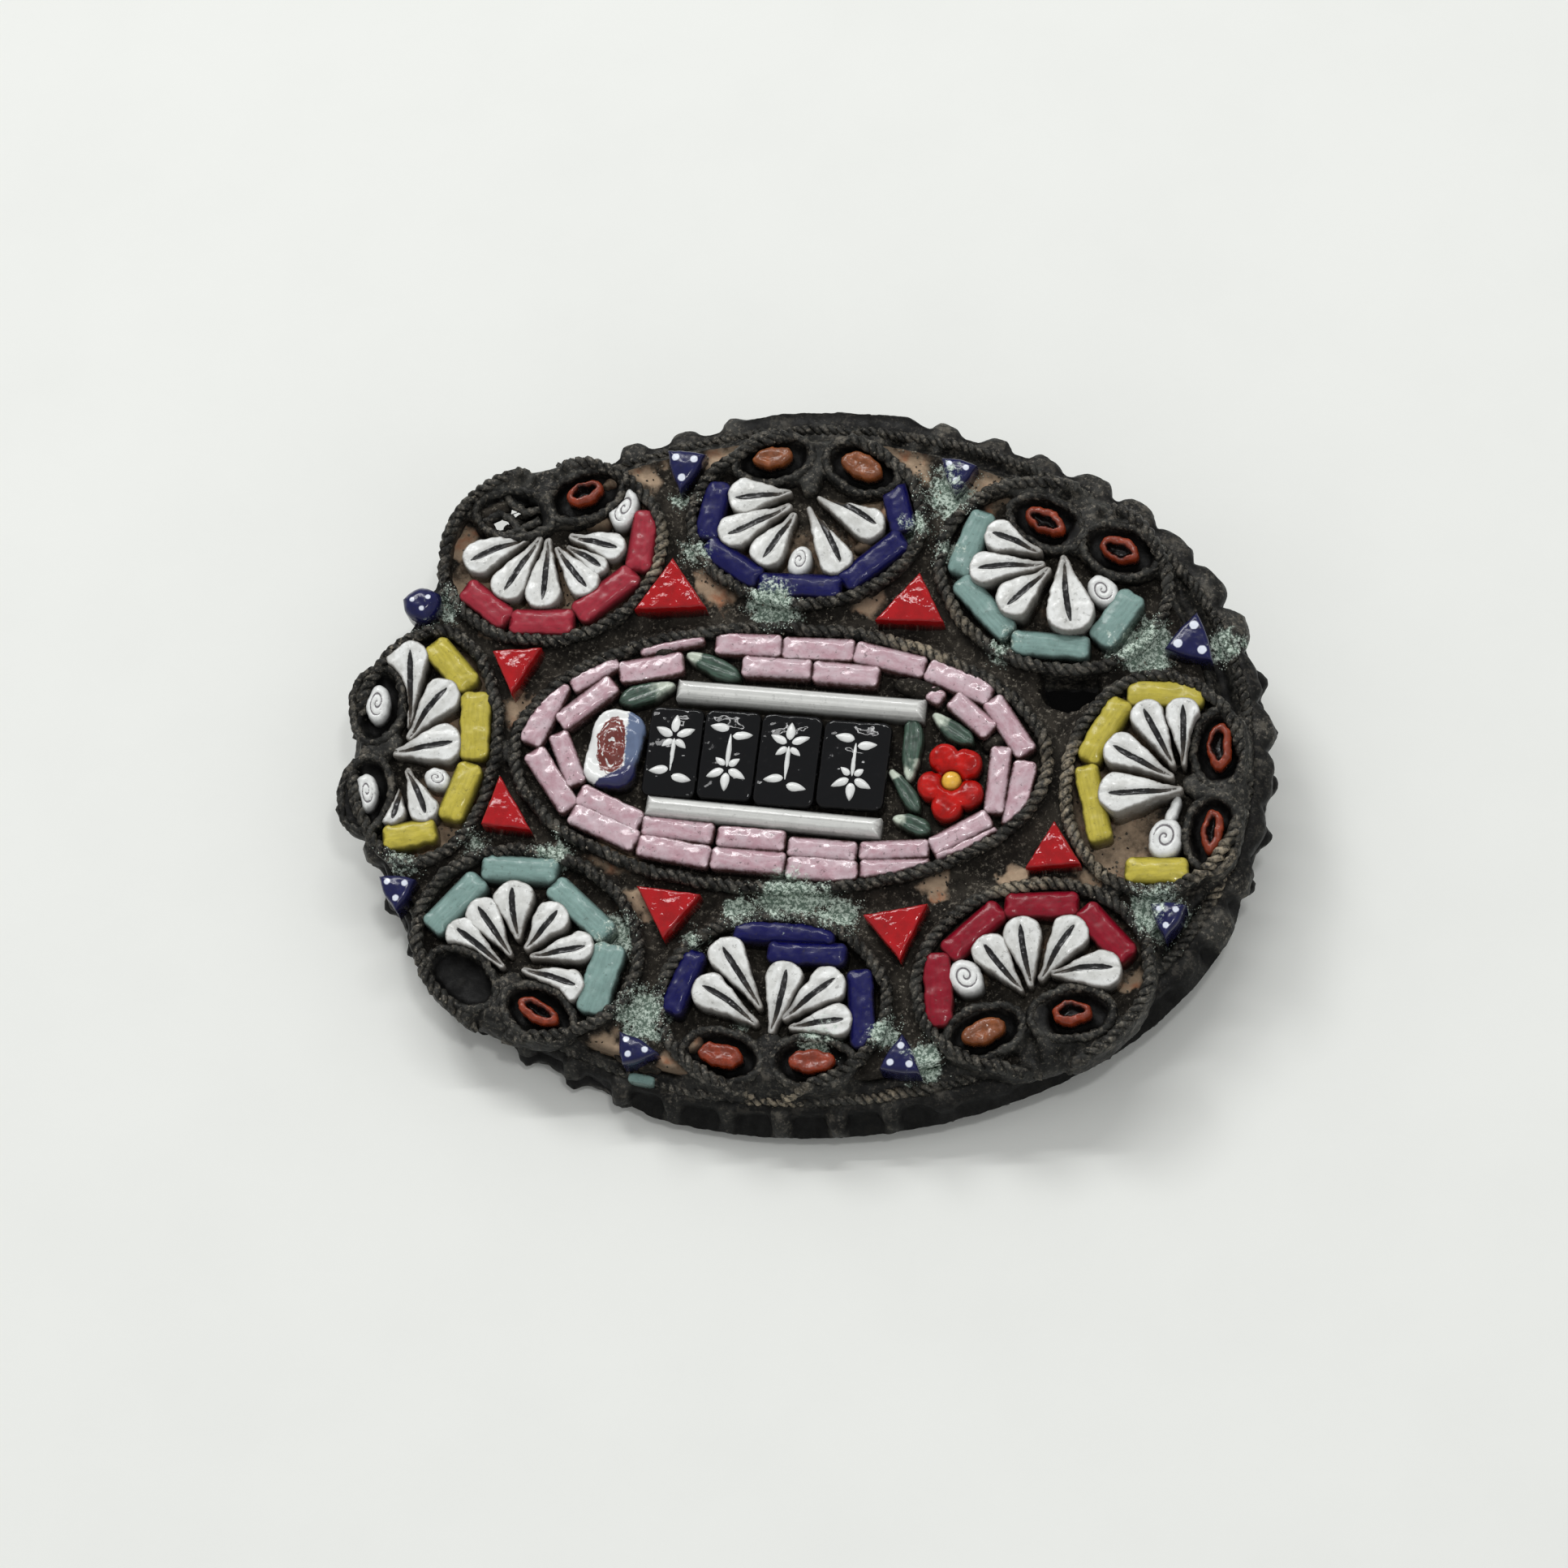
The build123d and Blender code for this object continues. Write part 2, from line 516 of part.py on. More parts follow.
def wall_plan():
    """The strips on edge: the cells' walls, open at the cleft, with a stem between the eyes."""
    half = WALL_THICKNESS / 2
    plan = cell_plan(PLAQUE, half) - cell_plan(PLAQUE, -half)
    for medallion in MEDALLIONS:
        ring = cell_plan(medallion, half) - cell_plan(medallion, -half)
        cleft = strip_plan(medallion, CLEFT_WIDTH * CELL, WEB_START_SHARE, 2 - WEB_START_SHARE)
        plan = plan + (ring - cleft) + stem_plan(medallion)
    return plan


def build_setting():
    """Plate, border, tray, cell walls and eye rings, soldered into one."""
    plate = prism(oval(0), 0, PLATE_THICKNESS)
    flange = prism(oval(FLANGE_INSET), PLATE_THICKNESS, FLANGE_HEIGHT)
    half_wire = BORDER_WIRE_THICKNESS / 2
    wire = oval(BORDER_WIRE_INSET - half_wire) - oval(BORDER_WIRE_INSET + half_wire)
    wire = wire - tray(0)
    rim = tray(0) - tray(TRAY_WALL)
    for medallion in MEDALLIONS:
        wire = wire - cell_plan(medallion, 0)
        rim = rim - cell_plan(medallion, 0)
    body = plate + build_teeth() + flange
    body += prism(wire, FLANGE_TOP, BORDER_WIRE_THICKNESS)
    body += prism(rim, FLANGE_TOP, TRAY_DEPTH)
    body += prism(wall_plan(), FLANGE_TOP, WALL_HEIGHT)
    for medallion in MEDALLIONS:
        body += prism(web_plan(medallion), FLANGE_TOP, EYE_CUP_HEIGHT)
    half = EYE_WALL_THICKNESS / 2
    for eye in EYES:
        ring = eye_plan(eye, half) - eye_plan(eye, -half)
        body += prism(ring, FLANGE_TOP + FAN_CEMENT, EYE_WALL_HEIGHT - FAN_CEMENT)
        if eye.holds != "open":
            body += prism(eye_plan(eye, 0), FLANGE_TOP + FAN_CEMENT, EYE_CUP_HEIGHT - FAN_CEMENT)
    return body - prism(chip_plan(), -PLATE_THICKNESS, PLATE_THICKNESS + FLANGE_TOP)


def build_cement():
    """The cement in the plaque, in each fan and on the ground between them."""
    half = WALL_THICKNESS / 2
    ground = tray(TRAY_WALL) - cell_plan(PLAQUE, half)
    pieces = [prism(cell_plan(PLAQUE, -half), FLANGE_TOP, PLAQUE_CEMENT)]
    for medallion in MEDALLIONS:
        ground = ground - cell_plan(medallion, half)
        bed = cell_plan(medallion, -half) - stem_plan(medallion) - web_plan(medallion) - chip_plan()
        for eye in EYES:
            if eye.medallion == medallion.name and eye.holds == "open":
                bed = bed - eye_plan(eye, EYE_WALL_THICKNESS)
        pieces.append(prism(bed, FLANGE_TOP, FAN_CEMENT))
    pieces.append(prism(ground, FLANGE_TOP, GROUND_CEMENT))
    return pieces


def eye_room(eye):
    """Where glass may stand in an eye ring, clear of the ring and of the cell's wall."""
    ring = eye_plan(eye, -EYE_WALL_THICKNESS / 2 - WALL_GAP)
    return ring & cell_plan(medallion_of(eye), -WALL_THICKNESS / 2 - WALL_GAP)


def fan_room(medallion):
    """Where glass may stand in a fan: clear of its wall, its stem and its eye rings."""
    clear = WALL_THICKNESS / 2 + WALL_GAP
    room = cell_plan(medallion, -clear) - stem_plan(medallion, WALL_GAP) - web_plan(medallion, WALL_GAP)
    for eye in EYES:
        if eye.medallion == medallion.name:
            room = room - eye_plan(eye, EYE_WALL_THICKNESS / 2 + WALL_GAP)
    return room


def build_fan(medallion):
    """The petals and the rods of one fan, each trimmed to its room."""
    room = fan_room(medallion)
    tall = TALL_PETAL_THICKNESS if medallion.name in TALL_FANS else PETAL_THICKNESS
    petals = [prism(petal_plan(p) & room, FAN_SEAT, tall) for p in PETALS if p.medallion == medallion.name]
    plans = [bar_plan(medallion, rod, ROD_CORNER_SHARE) for rod in RODS if rod.group == medallion.name]
    rods = [prism(plan & room, FAN_SEAT, ROD_THICKNESS) for plan in plans]
    return petals, rods


def build_triangles(rows):
    """Bevelled glass triangles on the ground, clear of every cell wall."""
    clear = WALL_THICKNESS / 2 + WALL_GAP
    pieces = []
    for row in rows:
        plan = triangle_plan(row)
        for cell in MEDALLIONS + [PLAQUE]:
            plan = plan - cell_plan(cell, clear)
        block = prism(plan, GROUND_SEAT + TRAY_DEPTH - GROUND_CEMENT, TRIANGLE_THICKNESS)
        pieces.append(chamfer(block.faces().sort_by(Axis.Z)[-1].edges(), TRIANGLE_BEVEL))
    return pieces


def build_beads():
    """The drops of glass in the eye rings."""
    pieces = []
    for eye in EYES:
        if eye.holds == "bead":
            block = prism(oval_plan(eye) & eye_room(eye), FLANGE_TOP + EYE_CUP_HEIGHT + SEAT_GAP, BEAD_HEIGHT)
            tightest_bend = eye.width ** 2 / eye.length / 2 * CELL
            rounding = min(BEAD_ROUNDING, BEAD_BEND_SHARE * tightest_bend)
            pieces.append(fillet(block.faces().sort_by(Axis.Z)[-1].edges(), rounding))
    return pieces


def build_buds():
    """The white spiral buds in the fans and in the rings that hold no bead."""
    pieces = []
    for medallion in MEDALLIONS:
        for bud in BUDS:
            if bud.medallion == medallion.name:
                pieces.append(prism(oval_plan(bud) & fan_room(medallion), FAN_SEAT, BUD_THICKNESS))
    for eye in EYES:
        if eye.holds == "bud":
            plan = oval_plan(eye) & eye_room(eye)
            pieces.append(prism(plan, FLANGE_TOP + EYE_CUP_HEIGHT + SEAT_GAP, BEAD_HEIGHT))
    return pieces


def build_white_bar(bar):
    """A glass bar with its two long upper edges rounded."""
    block = prism(bar_plan(PLAQUE, bar, WHITE_BAR_CORNER_SHARE), PLAQUE_SEAT, BAR_THICKNESS)
    top_edges = block.faces().sort_by(Axis.Z)[-1].edges().sort_by(SortBy.LENGTH)[-2:]
    return fillet(top_edges, BAR_ROUNDING_SHARE * bar.width * CELL)


def build_flower():
    """The flower, with a hole for its heart, and the heart."""
    x, y = spot_in(PLAQUE, FLOWER.column, FLOWER.row)
    petal_radius = FLOWER_PETAL_SHARE * FLOWER.length * CELL
    heart_radius = FLOWER_HEART_SHARE * FLOWER.length * CELL
    reach_along = FLOWER.length / 2 * CELL - petal_radius
    reach_across = FLOWER.width / 2 * CELL - petal_radius
    plan = Circle(reach_along)
    for index in range(FLOWER_PETALS):
        bearing = radians(FLOWER.turn + index * 360 / FLOWER_PETALS)
        plan += Pos(reach_along * cos(bearing), reach_across * sin(bearing)) * Circle(petal_radius)
    plan = plan - Circle(heart_radius + SEAT_GAP)
    petals = prism(Pos(x, y) * plan, PLAQUE_SEAT, FLOWER_THICKNESS)
    heart = prism(Pos(x, y) * Circle(heart_radius), PLAQUE_SEAT, FLOWER_CENTRE_THICKNESS)
    return petals, heart


def build_pin():
    """Rolled hinge, pin stem and rolled catch, in one piece under the plate."""
    stem = Pos((HINGE_X + CATCH_X) / 2, PIN_LINE, -PIN_DROP) * Rot(0, 90, 0)
    body = stem * Cylinder(PIN_DIAMETER / 2, CATCH_X - HINGE_X)
    hinge = (HINGE_X, HINGE_LENGTH, HINGE_TAB, HINGE_HEIGHT)
    catch = (CATCH_X, CATCH_LENGTH, CATCH_TAB, CATCH_HEIGHT)
    for x, length, tab, height in (hinge, catch):
        roll_line = height - ROLL_DIAMETER / 2
        body += Pos(x, PIN_LINE, -roll_line / 2) * Box(length, tab, roll_line)
        body += Pos(x, PIN_LINE, -roll_line) * Rot(0, 90, 0) * Cylinder(ROLL_DIAMETER / 2, length)
    return body


def resting_plane():
    """The table top in local coordinates, touching the hinge, the catch and the plate's lower edge."""
    half_width, side_radius = oval_sizes(0)[1], oval_sizes(0)[3]
    slope_x = (HINGE_HEIGHT - CATCH_HEIGHT) / (CATCH_X - HINGE_X)
    lift = HINGE_HEIGHT + slope_x * HINGE_X
    arm = PIN_LINE - (side_radius - half_width)
    spread = side_radius ** 2 - arm ** 2
    root = sqrt((lift * arm) ** 2 + spread * (lift ** 2 - (side_radius * slope_x) ** 2))
    slope_y = (lift * arm - root) / spread
    level = -side_radius * hypot(slope_x, slope_y) - (side_radius - half_width) * slope_y
    normal = Vector(-slope_x, -slope_y, 1)
    return Plane(origin=(0, 0, level), x_dir=(1, 0, slope_x), z_dir=normal)


def build_all():
    """Every node by name, still in local coordinates."""
    nodes = {"setting": build_setting(), "cement_bed": build_cement(), "pin_and_catch": build_pin()}
    for medallion in MEDALLIONS:
        petals, rods = build_fan(medallion)
        nodes["petals_" + medallion.name] = petals
        nodes["rods_" + medallion.name] = rods
    for colour, rows in (("red", RED_TRIANGLES), ("blue", BLUE_TRIANGLES)):
        for number, piece in enumerate(build_triangles(rows), 1):
            nodes[f"{colour}_triangle_{number}"] = piece
    for number, piece in enumerate(build_beads(), 1):
        nodes[f"bead_{number}"] = piece
    for bar in WHITE_BARS:
        nodes["white_bar_" + bar.group] = build_white_bar(bar)
    for number, tile in enumerate(BLACK_TILES, 1):
        plan = tile_plan(tile, BLACK_CORNER_SHARE)
        nodes[f"black_tile_{number}"] = prism(plan, PLAQUE_SEAT, TILE_THICKNESS)
    plan = tile_plan(SWIRL_FLOWER, SWIRL_CORNER_SHARE)
    nodes["swirl_flower"] = prism(plan, PLAQUE_SEAT, FLOWER_THICKNESS)
    nodes["red_flower"], nodes["flower_centre"] = build_flower()
    room = cell_plan(PLAQUE, -(WALL_THICKNESS / 2 + WALL_GAP))
    for row in ("outer", "inner"):
        plans = [bar_plan(PLAQUE, bar, PINK_CORNER_SHARE) for bar in PINK_TILES if bar.group == row]
        nodes[f"pink_{row}_row"] = [prism(plan & room, PLAQUE_SEAT, TILE_THICKNESS) for plan in plans]
    nodes["leaves"] = [prism(leaf_plan(leaf), PLAQUE_SEAT, LEAF_THICKNESS) for leaf in LEAVES]
    nodes["spiral_buds"] = build_buds()
    return nodes


def solids_of(piece):
    """The solids of a node, whether it was made as one shape or as a list."""
    shapes = piece if isinstance(piece, list) else [piece]
    return [solid for shape in shapes for solid in shape.solids()]


def main():
    """Rest the brooch on the table, centre it over the origin and write one file per node."""
    to_table = resting_plane().location.inverse()
    placed = {}
    for name, piece in build_all().items():
        placed[name] = [solid.moved(to_table) for solid in solids_of(piece)]
    whole = Compound(children=[solid for solids in placed.values() for solid in solids])
    box = whole.bounding_box()
    whole.children = []
    shift = Location((-(box.min.X + box.max.X) / 2, -(box.min.Y + box.max.Y) / 2, -box.min.Z))
    os.makedirs("parts", exist_ok=True)
    for name, solids in placed.items():
        settled = [solid.moved(shift) for solid in solids]
        shape = settled[0] if len(settled) == 1 else Compound(settled)
        export_step(shape, f"parts/{name}.step")


main()
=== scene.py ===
import math
from collections import namedtuple

import bmesh
import bpy
import numpy as np
from bpy.props import FloatProperty, FloatVectorProperty, IntProperty, PointerProperty
from mathutils import Matrix, Vector, noise
from mathutils.geometry import delaunay_2d_cdt
from mathutils.kdtree import KDTree


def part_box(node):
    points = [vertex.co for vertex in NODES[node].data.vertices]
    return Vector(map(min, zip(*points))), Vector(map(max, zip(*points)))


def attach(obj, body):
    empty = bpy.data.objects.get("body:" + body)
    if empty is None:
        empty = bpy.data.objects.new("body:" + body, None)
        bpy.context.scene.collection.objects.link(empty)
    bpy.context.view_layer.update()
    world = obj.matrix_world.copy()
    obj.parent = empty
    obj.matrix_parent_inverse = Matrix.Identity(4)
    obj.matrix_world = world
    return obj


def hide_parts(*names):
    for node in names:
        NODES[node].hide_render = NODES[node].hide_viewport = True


bl_info = {
    "name": "Micromosaic brooch",
    "version": (1, 0, 0),
    "blender": (4, 5, 0),
    "location": "View3D > Sidebar > Brooch",
    "description": "Dresses the brooch in its glass, cement, twisted wire, tarnish and verdigris",
    "category": "Object",
}

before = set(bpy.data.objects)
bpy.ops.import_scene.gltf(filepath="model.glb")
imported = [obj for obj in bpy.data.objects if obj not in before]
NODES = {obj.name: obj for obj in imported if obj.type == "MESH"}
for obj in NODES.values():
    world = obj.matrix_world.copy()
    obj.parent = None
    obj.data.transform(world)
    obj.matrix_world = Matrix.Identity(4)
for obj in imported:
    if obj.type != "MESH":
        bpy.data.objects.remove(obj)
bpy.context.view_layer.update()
MM = 0.001

# Points of a solid closer than this are one point, in metres
MERGE_DISTANCE = 1e-6

# How far apart the rows of an even grid of triangles are, as a share of its spacing
ROW_SHARE = 0.87

# The least thickness of a piece, in millimetres
LEAST_THICKNESS = 0.05

# The brooch is dressed in its own millimetres, plate down, as it was drawn, and then laid on the table.
# The chart's grid is 1 mm wide, read at the height of the wire tops.
CHART_CENTRE = (-0.1, 0.45)
CHART_HEIGHT = 3.2
CHART_SLIDE = (0.14, -0.364)

# The middle of the red flower's heart, which fixes where the brooch as drawn lies on the table
FLOWER_HEART = Vector((6.25, -1.25, 2.905))

# Heights that the solids have, in the brooch's own millimetres
FLANGE_TOP = 1.5
WALL_TOP = 3.1
EYE_TOP = 3.0
BORDER_WIRE_TOP = 1.95

# Heights at which marks were read off the photographed mosaic
BLOOM_HEIGHT = 2.4
CLAY_HEIGHT = 2.2
PIT_HEIGHT = 2.0
RUBBED_HEIGHT = 3.0
OPEN_EYE_WIRE_HEIGHT = 2.8

Cell = namedtuple("Cell", "name column row half_width half_depth outward")
PLAQUE = Cell("plaque", -1.30, 0.05, 11.40, 5.85, 90)
MEDALLIONS = [
    Cell("upper_left", -11.95, 9.15, 4.75, 4.15, 103),
    Cell("upper", -1.03, 10.95, 4.97, 3.90, 90),
    Cell("upper_right", 9.75, 8.70, 5.05, 4.10, 66),
    Cell("right", 14.70, -0.50, 4.80, 3.75, 0),
    Cell("lower_right", 10.20, -9.20, 4.90, 4.00, 285),
    Cell("lower", -0.60, -10.80, 4.80, 3.80, 270),
    Cell("lower_left", -11.25, -8.60, 4.90, 4.00, 250),
    Cell("left", -16.60, 0.05, 5.25, 3.15, 180),
]
CLEFT_HALF_WIDTH = 0.6
PLATE_LENGTH = 38.6
PLATE_WIDTH = 31.8
PLATE_END_RADIUS = 14.6
BORDER_WIRE_INSET = 0.75
EYE_HALF_LENGTH = 1.7
EYE_HALF_WIDTH = 1.1

Eye = namedtuple("Eye", "column row turn")
EYES = [
    Eye(-13.80, 10.85, -5),
    Eye(-10.80, 11.80, 25),
    Eye(-2.75, 13.75, 8),
    Eye(1.15, 13.45, -22),
    Eye(9.25, 11.15, -25),
    Eye(12.50, 9.95, -18),
    Eye(17.30, 1.15, 90),
    Eye(17.25, -2.60, 90),
    Eye(8.35, -11.70, 25),
    Eye(11.95, -10.75, 8),
    Eye(-2.55, -13.20, -10),
    Eye(1.30, -13.30, 0),
    Eye(-10.45, -11.65, -28),
    Eye(-13.90, -10.25, -35),
    Eye(-18.85, 1.85, 90),
    Eye(-18.95, -2.20, 90),
]

EYE_CELLS = [
    Cell("eye", eye.column, eye.row, EYE_HALF_LENGTH, EYE_HALF_WIDTH, eye.turn + 90)
    for eye in EYES
]

# A place in the cell of the open eye
OPEN_EYE_CEMENT = (-14.6, 9.6)

# The one dotted triangle that is worn to a round knob
KNOB_PLACE = (-17.4, 6.4)
KNOB_RADIUS = 0.9

# Where the edge is broken away behind the open eye
BROKEN_EDGE = (-14.6, 11.2)
BROKEN_EDGE_RADIUS = 1.9

# The place of the lost red triangle, a deep hole
LOST_TRIANGLE = Cell("lost_triangle", 10.9, 3.45, 1.3, 0.95, 90)
PIT_DEPTH = 1.1

# How far the cement between the cells is heaped over its solid
GROUND_RISE = 0.32

# Bare wire left across the open eye, each as chart places from end to end
OPEN_EYE_WIRES = [
    [(-15.3, 10.3), (-14.6, 10.75), (-14.0, 10.6), (-13.6, 10.1), (-13.1, 9.7)],
    [(-14.3, 11.7), (-13.9, 11.2), (-13.3, 10.9), (-12.6, 11.1), (-12.1, 10.7)],
    [(-14.9, 9.9), (-14.0, 9.8), (-13.3, 10.2), (-12.7, 10.5)],
]

# Where verdigris has bloomed, on the chart
Patch = namedtuple("Patch", "column row radius strength", defaults=(1.0,))
BLOOMS = [
    Patch(-2.0, 6.9, 1.3, 1.0),
    Patch(-5.3, 9.1, 0.8, 0.8),
    Patch(3.7, 10.5, 0.8, 0.9),
    Patch(5.2, 12.3, 1.3, 0.9),
    Patch(-6.3, 11.6, 0.6, 0.7),
    Patch(5.3, 9.5, 0.7, 0.8),
    Patch(5.9, 8.2, 0.5, 0.7),
    Patch(8.1, 5.3, 0.8, 0.9),
    Patch(12.4, 5.3, 0.6, 0.8),
    Patch(13.9, 5.5, 1.3, 1.0),
    Patch(17.2, 6.0, 0.9, 0.9),
    Patch(-16.3, 6.2, 0.9, 0.6),
    Patch(-17.0, 5.5, 0.8, 0.5),
    Patch(-10.5, -4.9, 0.8, 0.9),
    Patch(-14.0, -4.5, 0.7, 0.6),
    Patch(-7.6, -8.4, 1.0, 0.9),
    Patch(-6.0, -11.8, 1.2, 1.0),
    Patch(-16.9, -5.4, 0.9, 0.7),
    Patch(-0.1, -6.3, 1.6, 1.0),
    Patch(1.9, -7.0, 0.9, 0.9),
    Patch(-2.2, -7.2, 0.8, 0.8),
    Patch(-4.2, -8.4, 0.6, 0.9),
    Patch(-1.8, -11.9, 0.5, 0.6),
    Patch(1.6, -12.4, 1.0, 0.8),
    Patch(4.2, -12.3, 0.8, 1.0),
    Patch(5.8, -13.2, 0.9, 0.9),
    Patch(15.2, -6.4, 1.2, 0.9),
    Patch(6.4, -10.6, 0.5, 0.5),
]

# Where the tan cement shows through the grime between the cells, on the chart
CLAY_SPOTS = [
    Patch(-4.7, 7.6, 0.9),
    Patch(1.9, 7.4, 0.8),
    Patch(-7.4, 13.9, 0.8),
    Patch(-4.9, 13.8, 0.9),
    Patch(3.0, 13.6, 1.2),
    Patch(6.9, 12.6, 0.9),
    Patch(-14.2, 5.4, 0.7),
    Patch(-12.6, 1.7, 0.7),
    Patch(-7.9, -4.5, 1.1),
    Patch(-6.9, -6.9, 0.8),
    Patch(-14.6, -3.4, 0.8),
    Patch(12.3, -5.3, 0.8),
    Patch(16.9, -5.6, 0.8),
    Patch(-7.2, -13.9, 1.2),
    Patch(-4.4, -14.3, 1.0),
    Patch(6.0, -5.6, 0.7),
    Patch(9.3, -5.2, 0.6),
    Patch(2.2, 11.6, 0.6),
    Patch(1.6, 10.4, 0.6),
    Patch(-16.3, 9.2, 0.9),
    Patch(-8.6, 11.8, 1.1),
    Patch(-7.8, 9.6, 0.8),
    Patch(14.4, -9.3, 0.5),
]

# The setting that colours each fan's rods, and how much of its cement is clean, 0 to 1
Fan = namedtuple("Fan", "rods clean")
FANS = {
    "upper_left": Fan("red_rod", 0.78),
    "upper": Fan("blue_rod", 0.5),
    "upper_right": Fan("turquoise_rod", 0.3),
    "right": Fan("yellow_rod", 0.62),
    "lower_right": Fan("crimson_rod", 0.4),
    "lower": Fan("blue_rod", 0.12),
    "lower_left": Fan("turquoise_rod", 0.25),
    "left": Fan("yellow_rod", 0.66),
}

# Where the twisted wire is rubbed bright, on the chart
RUBBED_SPOTS = [
    Patch(10.8, -0.1, 1.2),
    Patch(11.1, -1.8, 1.2),
    Patch(12.2, -3.8, 1.3),
    Patch(17.9, -4.2, 1.4),
    Patch(9.6, -5.0, 1.2),
    Patch(4.6, 5.6, 1.6),
    Patch(-7.4, 9.0, 1.2),
    Patch(-0.2, -15.3, 1.1),
    Patch(4.6, -15.0, 0.9),
]

# Lumps of dirt and cement on the glass, between the petals, on the ledge and over the open eye, with
# their seats and tops in the brooch's own millimetres
Lump = namedtuple("Lump", "column row turn length width seat top clay")
LUMPS = [
    Lump(4.4, 3.42, -9, 2.2, 0.85, 2.7, 3.3, 0.1),
    Lump(7.8, 1.1, 20, 1.1, 0.8, 2.3, 3.05, 0.1),
    Lump(-6.6, 4.65, 22, 1.1, 0.5, 2.7, 3.2, 0.2),
    Lump(-7.3, -13.45, -20, 2.2, 0.5, 1.5, 2.1, 0.6),
    Lump(-4.6, -14.35, -16, 2.6, 0.45, 1.5, 2.05, 0.6),
    Lump(-3.9, -12.8, 30, 1.1, 0.7, 2.2, 2.9, 0.6),
    Lump(-6.1, -13.65, -16, 2.0, 0.5, 1.6, 2.6, 0.35),
    Lump(-9.42, 12.57, 25, 1.5, 0.7, 2.2, 2.85, 0.6),
    Lump(-10.05, 10.58, 10, 1.3, 0.8, 1.9, 2.5, 0.9),
    Lump(2.4, 11.4, 62, 1.9, 0.75, 2.0, 2.8, 1.2),
    Lump(1.6, 9.95, 30, 1.2, 0.6, 2.0, 2.7, 1.2),
    Lump(-14.75, 11.0, 25, 1.5, 0.75, 2.2, 2.9, 0.0),
    Lump(-15.1, 10.2, 10, 0.8, 0.6, 2.2, 2.8, 0.0),
]

# The pointed stem of the bud in the right fan
BUD_STEM = Lump(15.52, -1.75, 75, 1.5, 0.5, 2.1, 3.05, 0.0)

# A chip of pale green glass stuck to the ledge
CHIP = Lump(-5.85, -14.45, -8, 1.15, 0.46, 1.5, 2.2, 0.0)

# The leaf whose right half is yellow
YELLOW_LEAF = (7.0, 2.15)

# Where the edge's knobs are worn low: the share of their height that is left
Wear = namedtuple("Wear", "column row radius left")
EDGE_WEAR = [
    Wear(-0.5, 15.6, 5.0, 0.1),
    Wear(14.2, -9.4, 4.4, 0.6),
    Wear(8.5, -13.8, 3.4, 0.3),
    Wear(19.0, -1.0, 4.5, 0.75),
    Wear(14.0, 10.0, 4.5, 0.75),
    Wear(-15.5, 10.5, 4.0, 0.3),
]

# The rings of points that make the scalloped edge, from its inner top to its inner foot: how far out of
# the plate and how high each one runs, how much of a tooth's reach and height it takes, whether it is
# filled out where the teeth are worn, where it runs on the dark shelf, if at all, and how dark the painted
# shade in its gaps is
Ring = namedtuple("Ring", "out height tooth_out tooth_height filled shelf dark")
EDGE_RINGS = [
    Ring(-1.05, 1.55, 0.00, 0.00, 0, None, 0.6),
    Ring(-0.62, 1.78, 0.00, 0.05, 0, None, 0.6),
    Ring(-0.32, 1.74, 0.25, 0.12, 1, None, 0.8),
    Ring(-0.22, 1.50, 0.62, 0.08, 1, None, 1.0),
    Ring(-0.25, 1.14, 0.82, 0.00, 1, None, 1.0),
    Ring(-0.30, 0.80, 0.70, 0.00, 1, -0.32, 1.0),
    Ring(-0.34, 0.70, 0.00, 0.00, 0, -0.34, 1.0),
    Ring(-1.05, 0.64, 0.00, 0.00, 0, None, 1.0),
]

# How far the dark shelf stands out below the teeth of the lower edge
SHELF_REACH = 0.84

# How far out of the plate's edge a solid tooth's points stand, and how far apart two teeth are at least
TOOTH_OUT = 0.42
TOOTH_GAP = 0.8

# Beads that have no hollow heart, and beads that are brown and not coral
FILLED_BEADS = (2, 3, 8, 10, 11)
BROWN_BEADS = (2, 3, 8)

# Dabs of white enamel that make one sprig, as shares of its tile's half length and half width
Dab = namedtuple("Dab", "x y turn length width")
SPRIG = [
    Dab(0.00, 0.42, 90, 0.85, 0.44),
    Dab(0.06, 0.36, 25, 0.85, 0.42),
    Dab(-0.06, 0.36, 155, 0.85, 0.42),
    Dab(0.05, 0.28, -38, 0.62, 0.36),
    Dab(-0.05, 0.28, 218, 0.62, 0.36),
    Dab(0.00, 0.34, -90, 1.75, 0.26),
    Dab(0.04, -0.42, -8, 0.90, 0.44),
    Dab(-0.04, -0.58, 188, 0.90, 0.44),
]

# How many degrees the mosaic leans and turns in the photograph, and where the middle of the frame is, in
# millimetres from the chart's middle as the camera sees it
LEAN_LEFT = 8
LEAN_UP = 20
TURN_RIGHT = 2
FRAME_RIGHT = -1.3103
FRAME_UP = -0.3793
FRAME_HEIGHT = 1.2
SENSOR_WIDTH = 36

# Lights in metres from the brooch, each with its share of the power that the user sets
Lamp = namedtuple("Lamp", "name power share place size")
LAMPS = [
    Lamp("key_light", "key_power", 1.0, (-0.20, 0.26, 0.36), (0.14, 0.14)),
    Lamp("fill_light", "fill_power", 1.0, (0.25, -0.25, 0.30), (0.30, 0.30)),
    Lamp("strip_light", "glint_power", 1.0, (-0.02, 0.19, 0.36), (0.26, 0.016)),
    Lamp("window_light", "glint_power", 0.6, (0.08, -0.08, 0.40), (0.045, 0.026)),
]
TABLE_HALF_WIDTH = 0.6


def srgb(red, green, blue):
    """A colour given as it is seen, 0 to 255, in the linear values that shaders use."""
    parts = [value / 255 for value in (red, green, blue)]
    return tuple(c / 12.92 if c <= 0.04045 else ((c + 0.055) / 1.055) ** 2.4 for c in parts)


